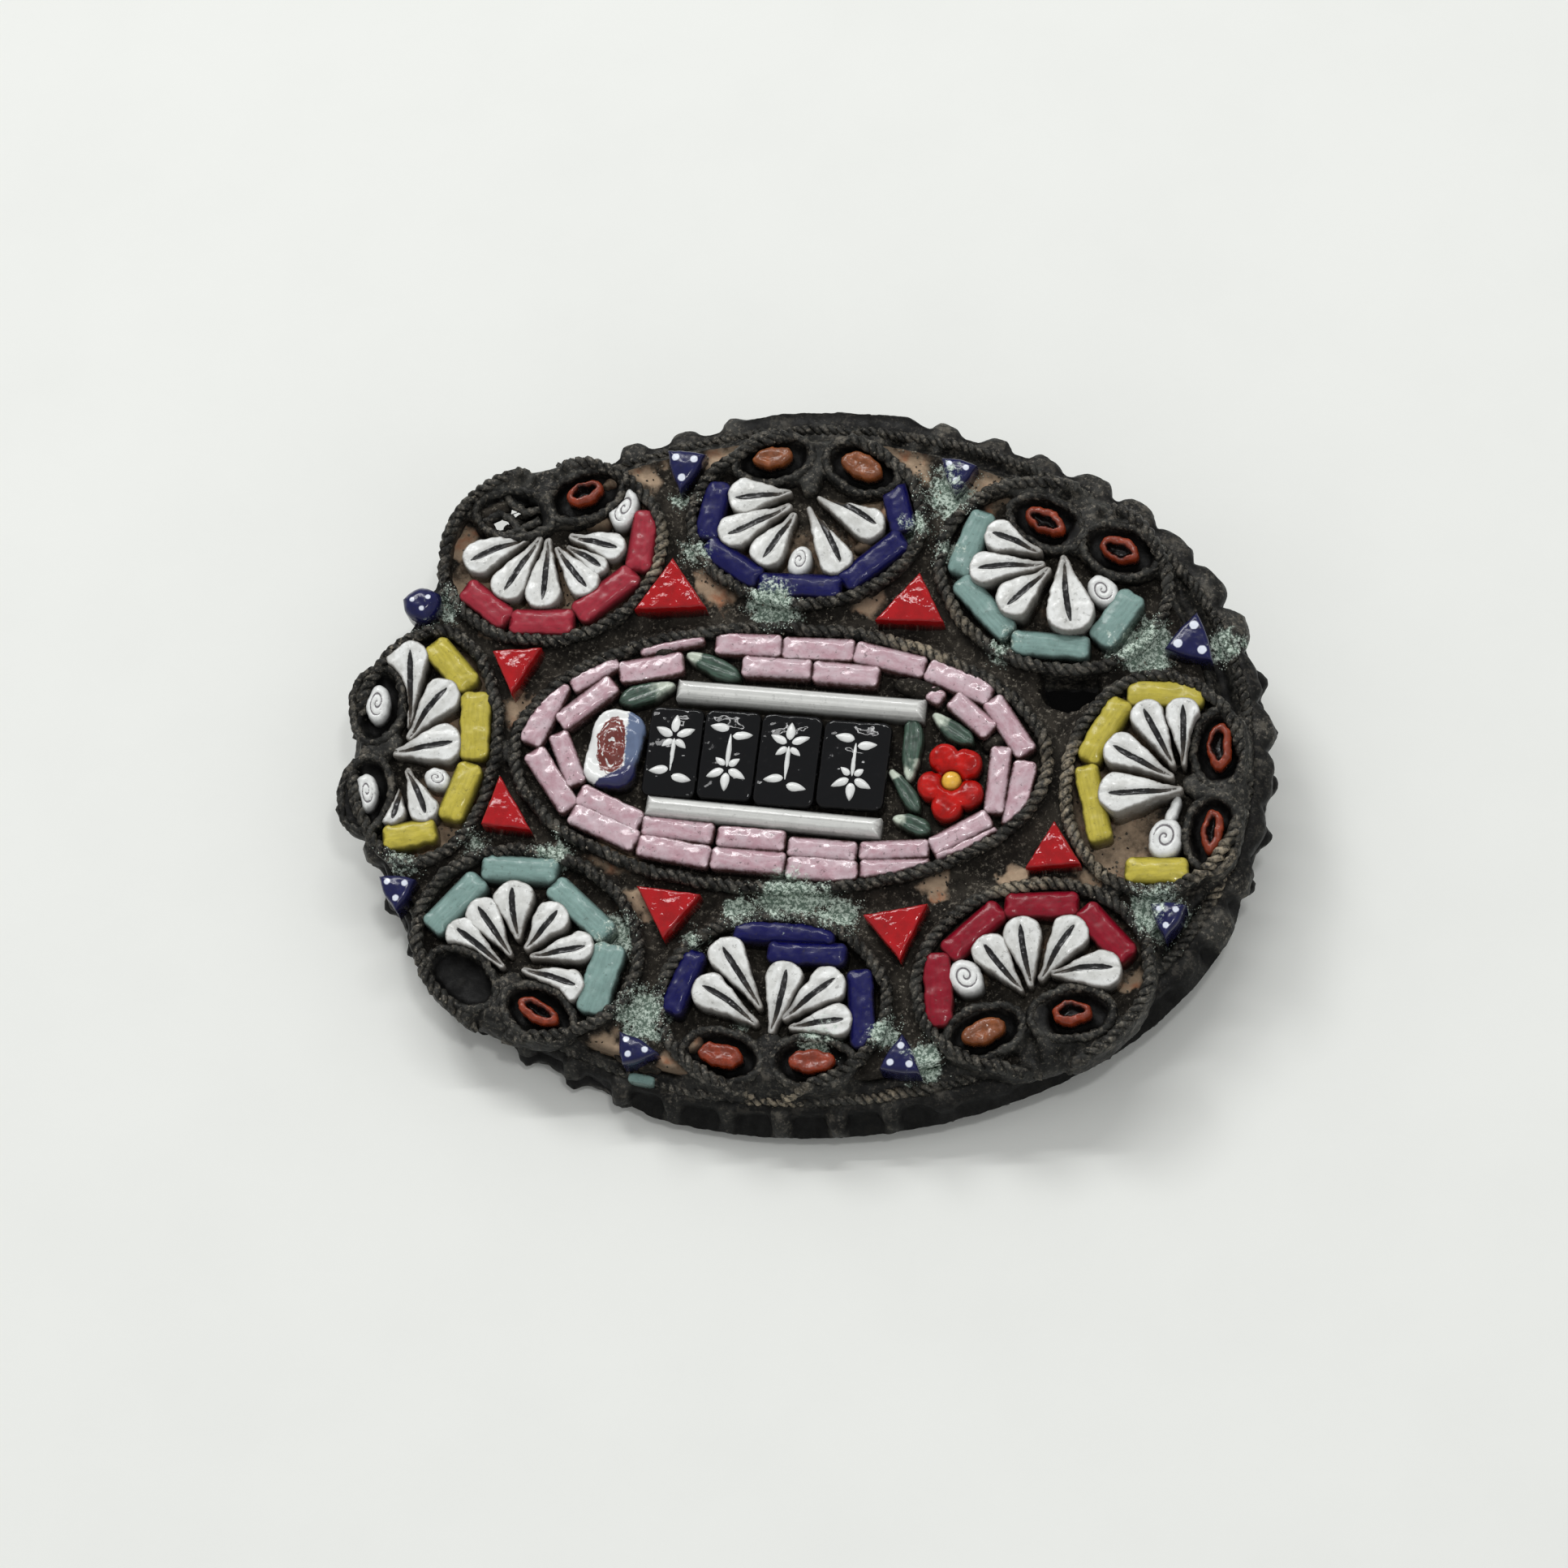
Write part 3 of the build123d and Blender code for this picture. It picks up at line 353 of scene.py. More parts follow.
def dimmed(colour, share):
    """A colour with only that share of its light."""
    return tuple(part * share for part in colour)


def colour_setting(name, about, red, green, blue):
    """A colour that the user can change."""
    return FloatVectorProperty(
        name=name, description=about, subtype="COLOR", size=3, min=0, max=1, default=srgb(red, green, blue)
    )


def length_setting(name, about, millimetres):
    """A length that the user can change."""
    return FloatProperty(
        name=name, description=about, unit="LENGTH", min=0, default=millimetres * MM, precision=5
    )


def number_setting(name, about, number):
    """A density or a strength that the user can change."""
    return FloatProperty(name=name, description=about, min=0, default=number)


class BroochSizes(bpy.types.PropertyGroup):
    """Sizes of what is added to the solids"""

    strand: length_setting("Strand radius", "Radius of one strand of a cell's twisted wire", 0.165)
    twist: length_setting("Twist radius", "How far a strand's middle is from the wire's", 0.15)
    pitch: length_setting("Wire pitch", "Length of one full turn of a twisted wire", 0.86)
    wobble: length_setting("Wire wobble", "How far a wire strays from its line", 0.08)
    metal_grain: length_setting("Metal grain", "Width of the smallest lump in the metal", 0.2)
    metal_relief: length_setting("Metal relief", "Height of the lumps in the metal", 0.07)
    glass_grain: length_setting("Glass grain", "Distance between points on a piece of glass", 0.085)
    cement_relief: length_setting("Cement relief", "Height of the lumps in the cement", 0.13)
    crust_grain: length_setting("Crust grain", "Radius of a grain of verdigris", 0.04)
    crumb: length_setting("Crumb", "Radius of a crumb of cement", 0.062)
    crumb_density: number_setting("Crumb density", "Crumbs of cement on a square millimetre", 15)
    crust_density: number_setting("Crust density", "Grains of verdigris on a square millimetre", 190)
    seed: IntProperty(name="Seed", description="Start of every random draw", default=7, min=0)


class BroochColours(bpy.types.PropertyGroup):
    """Colours of the glass, the metal and what lies on them"""

    metal: colour_setting("Metal", "Tarnished brass", 56, 56, 53)
    worn: colour_setting("Worn metal", "Brass where the tarnish is rubbed", 100, 96, 88)
    dust: colour_setting("Dust", "Pale dirt in the grain of the metal", 148, 141, 128)
    cement: colour_setting("Cement", "Clean cement", 206, 180, 152)
    # Grime is also the colour of painted shade along the cement's edges, low on the beads and, darkened, low
    # on most glass pieces
    grime: colour_setting("Grime", "Dirt on cement and in the joints", 56, 52, 46)
    verdigris: colour_setting("Verdigris", "Green bloom", 108, 126, 114)
    bloom_tip: colour_setting("Bloom tips", "Palest part of the bloom", 212, 226, 214)
    petal: colour_setting("Petals", "White petal glass", 234, 236, 234)
    ink: colour_setting("Petal lines", "Blue-black line in a petal", 4, 4, 6)
    red_rod: colour_setting("Red rods", "Rods of the red fan", 162, 42, 58)
    crimson_rod: colour_setting("Crimson rods", "Rods of the deep red fan", 142, 10, 36)
    blue_rod: colour_setting("Blue rods", "Rods of the blue fans", 12, 13, 82)
    turquoise_rod: colour_setting("Turquoise rods", "Rods of the pale green fans", 134, 165, 159)
    yellow_rod: colour_setting("Yellow rods", "Rods of the yellow fans", 198, 184, 74)
    pink: colour_setting("Pink tiles", "Glass of the plaque's border", 184, 146, 156)
    # Pale pink is partly the glass's own streaks and partly painted glare on the tiles
    pale_pink: colour_setting("Pale pink", "Streaks in the pink tiles", 222, 206, 212)
    white: colour_setting("White bars", "Glass of the two long bars", 224, 225, 221)
    black: colour_setting("Black tiles", "Glass of the dark tiles", 7, 8, 11)
    triangle: colour_setting("Red triangles", "Glass of the red triangles", 176, 2, 14)
    blue_triangle: colour_setting("Blue triangles", "Glass of the dotted triangles", 15, 20, 76)
    dot: colour_setting("Dots", "White dots on the blue triangles", 222, 228, 240)
    coral: colour_setting("Beads", "Glass of the eye beads", 156, 60, 30)
    bead_heart: colour_setting("Bead hearts", "Dark middle of an eye bead", 10, 3, 3)
    flower: colour_setting("Red flower", "Petals of the red flower", 196, 16, 8)
    flower_deep: colour_setting("Red flower creases", "Creases of the red flower", 118, 5, 5)
    flower_heart: colour_setting("Flower heart", "Heart of the red flower", 240, 184, 60)
    leaf: colour_setting("Leaves", "Green of the leaves", 62, 92, 76)
    leaf_pale: colour_setting("Leaf ends", "Pale ends of the leaves", 196, 206, 190)
    swirl_red: colour_setting("Swirl red", "Red-brown of the swirled flower", 112, 44, 36)
    swirl_blue: colour_setting("Swirl blue", "Blue of the swirled flower", 96, 112, 142)
    swirl_navy: colour_setting("Swirl navy", "Darkest part of the swirled flower", 34, 36, 84)
    pin: colour_setting("Pin metal", "Brass of the pin under the plate", 120, 100, 66)
    floor: colour_setting("Table", "Pale table top", 236, 238, 234)


class BroochStage(bpy.types.PropertyGroup):
    """Camera and light"""

    distance: length_setting("Camera distance", "From the camera to the mosaic", 260)
    frame_width: length_setting("Frame width", "What the frame takes in at the mosaic", 66.62)
    key_power: number_setting("Key light", "Power of the light above and behind", 0.64)
    fill_power: number_setting("Fill light", "Power of the light in front", 0.05)
    glint_power: number_setting("Glint lights", "Power of the long thin light and the small one", 0.34)
    sky_strength: number_setting("Sky", "Strength of the even light all round", 0.5)


def rest_matrix():
    """From the brooch's own millimetres to the frame's metres, read off a tile's top and the flower."""
    up = Vector((0, 0, 0))
    for face in NODES["black_tile_1"].data.polygons:
        if face.normal.z > 0.9:
            up += face.normal * face.area
    up.normalize()
    slope_x = up.x / math.sqrt(1 - up.x ** 2)
    slope_y = math.copysign(math.sqrt(1 / up.z ** 2 - 1 - slope_x ** 2), up.y)
    across = Vector((1, 0, slope_x)).normalized()
    normal = Vector((-slope_x, -slope_y, 1)).normalized()
    turn = Matrix((across, normal.cross(across), normal))
    low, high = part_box("flower_centre")
    shift = (low + high) / 2 / MM - turn @ FLOWER_HEART
    return Matrix.Scale(MM, 4) @ Matrix.Translation(shift) @ turn.to_4x4()


TO_TABLE = rest_matrix()
FROM_TABLE = TO_TABLE.inverted()


def spot(column, row):
    """A place on the chart in the brooch's own millimetres, as the solids' tables use it."""
    return column - CHART_CENTRE[0], row - CHART_CENTRE[1]


def seen_spot(column, row, height):
    """A place read off the photographed mosaic, for something that lies at that height."""
    x, y = spot(column, row)
    return x + CHART_SLIDE[0] * (height - CHART_HEIGHT), y + CHART_SLIDE[1] * (height - CHART_HEIGHT)


def smooth_step(values, low, high):
    """0 below low, 1 above high and smooth between them."""
    share = np.clip((values - low) / (high - low), 0, 1)
    return share * share * (3 - 2 * share)


def lumps(points, size, seed=0.0, octaves=3):
    """Fractal noise from about -1 to 1 at each point, with lumps of that size in millimetres."""
    points = np.asarray(points, float)
    if points.shape[1] == 2:
        points = np.column_stack([points, np.zeros(len(points))])
    scaled = points / size + seed
    return np.array([noise.fractal(Vector(p), 0.9, 2.1, octaves) for p in scaled])


def distance_from(points, place):
    """How far each point is from a place, seen from above."""
    return np.hypot(points[:, 0] - place[0], points[:, 1] - place[1])


def frayed(points, reach):
    """The plan of some points, moved about so that a round spot gets a frayed edge."""
    plan = np.asarray(points, float)[:, :2]
    return plan + reach * np.column_stack([lumps(plan, 0.8, 4.4), lumps(plan, 0.8, 9.9)])


def patches_at(points, patches, height, fray, fade):
    """How strong some patches are at each point, 0 to 1, fading outwards to frayed edges."""
    points = frayed(points, fray)
    amount = np.zeros(len(points))
    for patch in patches:
        reach = distance_from(points, seen_spot(patch.column, patch.row, height)) / patch.radius
        amount = np.maximum(amount, patch.strength * np.clip(fade - reach, 0, 1))
    return amount


def bloom_at(points):
    """How much verdigris there is at each point, 0 to 1."""
    return patches_at(points, BLOOMS, BLOOM_HEIGHT, 0.5, 1.45)


def clay_at(points, spots=CLAY_SPOTS, height=CLAY_HEIGHT):
    """How clean the cement is at each point, or how rubbed the wire, 0 to 1."""
    return patches_at(points, spots, height, 0.6, 1.5)


def pit_at(points):
    """1 in the hole that the lost triangle has left, 0 outside it."""
    points = frayed(points, 0.25)
    x, y = seen_spot(LOST_TRIANGLE.column, LOST_TRIANGLE.row, PIT_HEIGHT)
    across = (points[:, 0] - x) / LOST_TRIANGLE.half_width
    deep = (points[:, 1] - y) / LOST_TRIANGLE.half_depth
    return smooth_step(-np.hypot(across, deep), -1.12, -0.8)


def chained_loops(edges):
    """Closed loops of point numbers out of loose edges."""
    after = {}
    for a, b in edges:
        after.setdefault(a, []).append(b)
        after.setdefault(b, []).append(a)
    loops, seen = [], set()
    for start in after:
        if start in seen:
            continue
        loop, here, before = [], start, None
        while here is not None and here not in seen:
            seen.add(here)
            loop.append(here)
            ways = [n for n in after[here] if n != before and n not in seen]
            before, here = here, (ways[0] if ways else None)
        if len(loop) > 2:
            loops.append(loop)
    return loops


def signed_area(loop):
    """Area inside a loop, positive where it runs anticlockwise."""
    x, y = loop[:, 0], loop[:, 1]
    return 0.5 * float(np.sum(x * np.roll(y, -1) - np.roll(x, -1) * y))


Solid = namedtuple("Solid", "loops seat top")


def merged(node):
    """A copy of a node's solids in the brooch's own millimetres, with its doubled points merged."""
    shape = bmesh.new()
    shape.from_mesh(NODES[node].data)
    bmesh.ops.remove_doubles(shape, verts=shape.verts, dist=MERGE_DISTANCE)
    shape.transform(FROM_TABLE)
    shape.normal_update()
    return shape


def solids_of(node):
    """Each loose solid of a node: the loops of its plan, the outer one first, its seat and its top."""
    shape = merged(node)
    shape.verts.ensure_lookup_table()
    found, seen = [], set()
    for first in shape.verts:
        if first.index in seen:
            continue
        stack, members = [first], []
        seen.add(first.index)
        while stack:
            vert = stack.pop()
            members.append(vert)
            for edge in vert.link_edges:
                other = edge.other_vert(vert)
                if other.index not in seen:
                    seen.add(other.index)
                    stack.append(other)
        heights = [vert.co.z for vert in members]
        seat, top = min(heights), max(heights)
        rim = set()
        for vert in members:
            for edge in vert.link_edges:
                flat = [face for face in edge.link_faces if face.normal.z < -0.99]
                below = [face for face in flat if face.calc_center_median().z < seat + 0.02]
                if len(below) == 1 and len(edge.link_faces) == 2:
                    rim.add(tuple(sorted(v.index for v in edge.verts)))
        loops = [np.array([shape.verts[i].co.xy for i in loop]) for loop in chained_loops(sorted(rim))]
        loops.sort(key=lambda loop: -abs(signed_area(loop)))
        loops = [loop if (signed_area(loop) > 0) == (loop is loops[0]) else loop[::-1] for loop in loops]
        if loops:
            found.append(Solid(loops, seat, top))
    shape.free()
    return found


def even_loop(loop, spacing):
    """The same loop with points no further apart than spacing, and no bunched ones."""
    points = []
    for here, after in zip(loop, np.roll(loop, -1, axis=0)):
        if points and np.hypot(*(here - points[-1])) < 0.3 * spacing:
            continue
        run = np.hypot(*(after - here))
        parts = max(1, int(math.ceil(run / spacing - 0.3)))
        points.extend(here + (after - here) * step / parts for step in range(parts))
    if np.hypot(*(points[0] - points[-1])) < 0.3 * spacing:
        points.pop()
    return np.array(points)


def inward(loop):
    """The direction into the piece at each point of a loop."""
    along = np.roll(loop, -1, axis=0) - np.roll(loop, 1, axis=0)
    normal = np.column_stack([-along[:, 1], along[:, 0]])
    return normal / np.maximum(np.hypot(normal[:, 0], normal[:, 1])[:, None], 1e-9)


def rim_distance(points, loops):
    """How far each point is from the nearest edge of the loops."""
    best = np.full(len(points), 1e9)
    for loop in loops:
        for a, b in zip(loop, np.roll(loop, -1, axis=0)):
            way = b - a
            share = np.clip(((points - a) @ way) / max(way @ way, 1e-12), 0, 1)
            gap = points - a - share[:, None] * way
            best = np.minimum(best, np.hypot(gap[:, 0], gap[:, 1]))
    return best


def inside(points, loops):
    """Whether each point lies in the outer loop and in no hole."""
    odd = np.zeros(len(points), bool)
    for loop in loops:
        for a, b in zip(loop, np.roll(loop, -1, axis=0)):
            crosses = (a[1] > points[:, 1]) != (b[1] > points[:, 1])
            if a[1] != b[1]:
                reach = (b[0] - a[0]) * (points[:, 1] - a[1]) / (b[1] - a[1]) + a[0]
                odd ^= crosses & (points[:, 0] < reach)
    return odd


def triangles_in(loops, extra):
    """Points and triangles that fill the loops, through the extra points too."""
    points, edges = [], []
    for loop in loops:
        start = len(points)
        points.extend(loop)
        edges.extend((start + i, start + (i + 1) % len(loop)) for i in range(len(loop)))
    points.extend(extra)
    made = delaunay_2d_cdt([Vector(p) for p in points], edges, [], 0, 1e-5, False)
    spots = np.array([tuple(v) for v in made[0]])
    faces = np.array([face for face in made[2] if len(face) == 3])
    corners = spots[faces]
    area = np.cross(corners[:, 1] - corners[:, 0], corners[:, 2] - corners[:, 0])
    keep = inside(corners.mean(axis=1), loops) & (np.abs(area) > 1e-9)
    faces, area = faces[keep], area[keep]
    faces[area < 0] = faces[area < 0][:, ::-1]
    return spots, faces


class Batch:
    """Loose pieces of one finish, gathered in the brooch's own millimetres and made one mesh."""

    def __init__(self):
        self.points, self.faces, self.marks, self.count = [], [], {}, 0

    def add(self, points, faces, **marks):
        """Adds points and faces, with a number or a vector for each point under each mark's name."""
        self.points.append(points)
        self.faces.append(faces + self.count)
        for name, values in marks.items():
            self.marks.setdefault(name, []).append(values)
        self.count += len(points)

    def make(self, name, material, slot, *replaced):
        """The piece, laid on the table and riding on the brooch."""
        mesh = bpy.data.meshes.new(name)
        points = np.concatenate(self.points)
        faces = np.concatenate(self.faces)
        mesh.from_pydata(points.tolist(), [], faces.tolist())
        for mark, parts in self.marks.items():
            values = np.concatenate(parts)
            kind, field = ("FLOAT", "value") if values.ndim == 1 else ("FLOAT_VECTOR", "vector")
            layer = mesh.attributes.new(mark, kind, "POINT")
            layer.data.foreach_set(field, values.astype(np.float32).ravel())
        return finished(name, mesh, material, slot, *replaced)


def placed(name, data):
    """A new object in the scene that holds some data."""
    thing = bpy.data.objects.new(name, data)
    bpy.context.scene.collection.objects.link(thing)
    return thing


def coordinates(mesh, kind="co"):
    """The points of a mesh, or their normals, as an array."""
    values = np.zeros(len(mesh.vertices) * 3)
    mesh.vertices.foreach_get(kind, values)
    return values.reshape(-1, 3)


def finished(name, mesh, material, slot, *replaced):
    """A mesh in the brooch's own millimetres as a piece that rides on the brooch."""
    mesh.transform(TO_TABLE)
    points = coordinates(mesh)
    points[:, 2] = np.maximum(points[:, 2], 0)
    mesh.vertices.foreach_set("co", points.ravel())
    mesh.validate()
    mesh.shade_smooth()
    mesh.materials.clear()
    mesh.materials.append(material)
    piece = placed(name, mesh)
    if replaced:
        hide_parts(*replaced)
    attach(piece, "root")
    return piece


Form = namedtuple("Form", "centre along length width tone")


def quarter_turn(way):
    """A direction turned a quarter to the left."""
    return np.array([-way[1], way[0]])


def form_of(solid, tone):
    """A solid's middle, its long direction towards its wider end, its length and its width."""
    loop = even_loop(solid.loops[0], 0.06)
    centre = loop.mean(axis=0)
    away = loop - centre
    _, ways = np.linalg.eigh(away.T @ away)
    along = ways[:, 1]
    run = away @ along
    side = np.abs(away @ quarter_turn(along))
    third = (run.max() - run.min()) / 3
    if side[run > run.max() - third].max() < side[run < run.min() + third].max():
        along = -along
        run = -run
    middle = centre + along * (run.max() + run.min()) / 2
    return Form(middle, along, run.max() - run.min(), 2 * side.max(), tone)


def own_place(points, form):
    """Each point along and across its piece, from the piece's middle."""
    away = points - form.centre
    return away @ form.along, away @ quarter_turn(form.along)


def plan_place(along, across, form):
    """The plan of points that are given along and across their piece."""
    return form.centre + along[:, None] * form.along + across[:, None] * quarter_turn(form.along)


def rounded(distance, radius):
    """How far a rounded rim drops at each distance from the edge."""
    share = np.clip(1 - distance / radius, 0, 1)
    return radius * (1 - np.sqrt(1 - share * share))


def plan_mesh(loops, spacing, steps):
    """Points and triangles that fill the loops, with a ring of points at each step in from an edge."""
    extra = []
    for step in steps:
        for loop in loops:
            moved = loop + inward(loop) * step
            extra.append(moved[rim_distance(moved, loops) > 0.85 * step])
    low, high = loops[0].min(axis=0), loops[0].max(axis=0)
    columns = np.arange(low[0], high[0], spacing)
    rows = np.arange(low[1], high[1], spacing * ROW_SHARE)
    grid = np.array([(x + (i % 2) * spacing / 2, y) for i, y in enumerate(rows) for x in columns])
    grid = grid[inside(grid, loops)]
    if len(grid):
        extra.append(grid[rim_distance(grid, loops) > (steps[-1] if steps else 0) + 0.5 * spacing])
    spots, faces = triangles_in(loops, np.concatenate(extra))
    used = np.unique(faces)
    renumber = np.full(len(spots), -1)
    renumber[used] = np.arange(len(used))
    return spots[used], renumber[faces]


def walls_and_floor(spots, faces):
    """The faces that close a top down to its seat, and the rim's points, which the seat repeats in order."""
    edges = np.concatenate([faces[:, [0, 1]], faces[:, [1, 2]], faces[:, [2, 0]]])
    sides = {tuple(edge) for edge in edges.tolist()}
    rim = sorted(edge for edge in sides if (edge[1], edge[0]) not in sides)
    order = np.array(sorted({point for edge in rim for point in edge}))
    below = {int(point): len(spots) + number for number, point in enumerate(order)}
    made = []
    for a, b in rim:
        made.append((b, a, below[a]))
        made.append((b, below[a], below[b]))
    flat_spots, flat_faces = triangles_in([spots[loop] for loop in chained_loops(rim)], [])
    seats = [len(spots) + int(np.argmin(distance_from(spots[order], place))) for place in flat_spots]
    made.extend(tuple(seats[point] for point in face[::-1]) for face in flat_faces.tolist())
    return made, order


def add_relief(batch, solid, top_of, ink_of=None, tone=0.5, spacing=0.085, grow=0.0,
               steps=(0.03, 0.08, 0.15), ragged=0.0, marks_of=None, outline_of=None):
    """A closed piece on the solid's plan, with a top that top_of shapes and marks that ink_of draws."""
    form = form_of(solid, tone)
    loops = [even_loop(loop, spacing) for loop in solid.loops]
    if outline_of:
        loops = [even_loop(outline_of(loop, form), spacing) for loop in loops]
    grown = [grow + (ragged * lumps(loop, 0.55, tone * 90) if ragged else 0) for loop in loops]
    loops = [loop - inward(loop) * np.reshape(more, (-1, 1)) for loop, more in zip(loops, grown)]
    spots, faces = plan_mesh(loops, spacing, steps)
    closing, order = walls_and_floor(spots, faces)
    distance = rim_distance(spots, loops)
    heights = np.maximum(top_of(spots, distance, form, solid), solid.seat + LEAST_THICKNESS)
    plan = np.vstack([spots, spots[order]])
    points = np.column_stack([plan, np.concatenate([heights, np.full(len(order), solid.seat)])])
    rim = np.concatenate([distance, np.zeros(len(order))])
    along, across = own_place(plan, form)
    batch.add(
        points, np.array(faces.tolist() + closing), rim=rim, tone=np.full(len(plan), tone),
        ink=ink_of(plan, rim, form) if ink_of else np.ones(len(plan)),
        own=np.column_stack([along / max(form.length, 1e-6), across / max(form.width, 1e-6), points[:, 2]]),
        bloom=bloom_at(plan),
        # depth runs from 0 at the seat to 1 high on the sides; the glass paints shade where it is low
        depth=smooth_step(points[:, 2], solid.seat, solid.seat + 0.7 * (solid.top - solid.seat)),
        **(marks_of(plan, form) if marks_of else {}),
    )


def marked(name, amount):
    """Gives every point of a piece the same mark."""
    def marks_of(points, form):
        return {name: np.full(len(points), float(amount))}
    return marks_of


class Nodes:
    """A tree whose nodes are made by short calls."""

    def node(self, kind, inputs=(), **settings):
        """A node with its settings and inputs, each input a value or another node's socket."""
        node = self.tree.nodes.new(kind)
        for name, value in settings.items():
            setattr(node, name, value)
        for key, value in dict(inputs).items():
            self.put(node.inputs[key], value)
        return node

    def put(self, socket, value):
        """Links a socket, or sets its value."""
        if isinstance(value, bpy.types.NodeSocket):
            self.tree.links.new(value, socket)
        elif hasattr(value, "__len__") and len(value) == 3 and len(socket.default_value) == 4:
            socket.default_value = (*value, 1)
        else:
            socket.default_value = value

    def math(self, operation, one, two=0.0):
        """What a Math node makes of one or two numbers."""
        return self.node("ShaderNodeMath", {0: one, 1: two}, operation=operation).outputs[0]

    def times(self, one, two):
        """One number times another."""
        return self.math("MULTIPLY", one, two)

    def plus(self, one, two):
        """The sum of two numbers."""
        return self.math("ADD", one, two)

    def minus(self, one, two):
        """One number less another."""
        return self.math("SUBTRACT", one, two)


class Shader(Nodes):
    """A material whose nodes are made by short calls."""

    def __init__(self, name):
        self.material = bpy.data.materials.new(name)
        self.material.use_nodes = True
        self.tree = self.material.node_tree
        self.tree.nodes.clear()
        self.skin = self.node("ShaderNodeBsdfPrincipled")
        self.node("ShaderNodeOutputMaterial", {"Surface": self.skin.outputs[0]})
        metres = self.node("ShaderNodeTexCoord").outputs["Object"]
        scaled = self.node("ShaderNodeVectorMath", {0: metres, "Scale": 1 / MM}, operation="SCALE")
        self.place = scaled.outputs[0]

    def mark(self, name, kind="Fac"):
        """What the mesh carries at each point under that name."""
        return self.node("ShaderNodeAttribute", attribute_name=name).outputs[kind]

    def own(self):
        """A point's place along and across its own piece."""
        return self.mark("own", "Vector")

    def along(self):
        """A point's share along its own piece, from -0.5 at its foot to 0.5."""
        return self.node("ShaderNodeSeparateXYZ", {0: self.own()}).outputs[0]

    def noise(self, size, detail=3.0, rough=0.55, vector=None, stretch=None):
        """Noise of that size in millimetres, or in shares of the piece where vector is given."""
        source = vector or self.place
        if stretch:
            source = self.node("ShaderNodeMapping", {"Vector": source, "Scale": stretch}).outputs[0]
        return self.node("ShaderNodeTexNoise", {
            "Vector": source, "Scale": 1 / size, "Detail": detail, "Roughness": rough,
        }).outputs["Fac"]

    def step(self, value, low, high):
        """0 below low, 1 above high and smooth between them."""
        return self.node("ShaderNodeMapRange", {
            "Value": value, "From Min": low, "From Max": high,
        }, interpolation_type="SMOOTHSTEP").outputs["Result"]

    def spots(self, low, high, *look, **place):
        """Noise of that size, detail and roughness, 0 where it is below low and 1 above high."""
        return self.step(self.noise(*look, **place), low, high)

    def mix(self, share, one, two):
        """A colour between two."""
        node = self.node("ShaderNodeMix", {"Factor": share, "A": one, "B": two}, data_type="RGBA")
        return node.outputs["Result"]

    def bump(self, height, strength, distance, before=None):
        """A bump that height shapes, its distance in millimetres."""
        node = self.node("ShaderNodeBump", {
            "Strength": strength, "Distance": distance * MM, "Height": height,
        })
        if before:
            self.put(node.inputs["Normal"], before)
        return node.outputs[0]

    def finish(self, colour, roughness, normal=None, **fixed):
        """Links the skin's colour, roughness and bump, and sets the rest."""
        linked = {"Base Color": colour, "Roughness": roughness}
        if normal:
            linked["Normal"] = normal
        for name, value in fixed.items():
            linked[name.replace("_", " ").title().replace("Ior", "IOR")] = value
        for name, value in linked.items():
            self.put(self.skin.inputs[name], value)
        return self.material


def colours():
    """The user's colours."""
    return bpy.context.scene.brooch_colours


def sizes():
    """The user's sizes."""
    return bpy.context.scene.brooch_sizes


def with_verdigris(shader, colour, roughness, amount=1.0):
    """A colour and roughness that turn to verdigris where the mesh is marked for it."""
    tint = colours()
    fine = shader.noise(0.28, 6, 0.7)
    marked = shader.times(shader.mark("bloom"), amount)
    cover = shader.step(shader.plus(marked, shader.times(fine, 1.3)), 1.08, 1.4)
    pale = shader.spots(0.46, 0.58, 0.14, 5, 0.7)
    green = shader.mix(pale, tint.verdigris, tint.bloom_tip)
    return shader.mix(cover, colour, green), shader.math("MAXIMUM", roughness, shader.times(cover, 0.92))


def rim_dirt(shader, low, high):
    """How dirty a piece of glass is, from 0 at high inside its rim to 1 at low."""
    rim = shader.plus(shader.mark("rim"), shader.times(shader.noise(0.3, 5, 0.7), 0.22))
    return shader.step(rim, high, low)


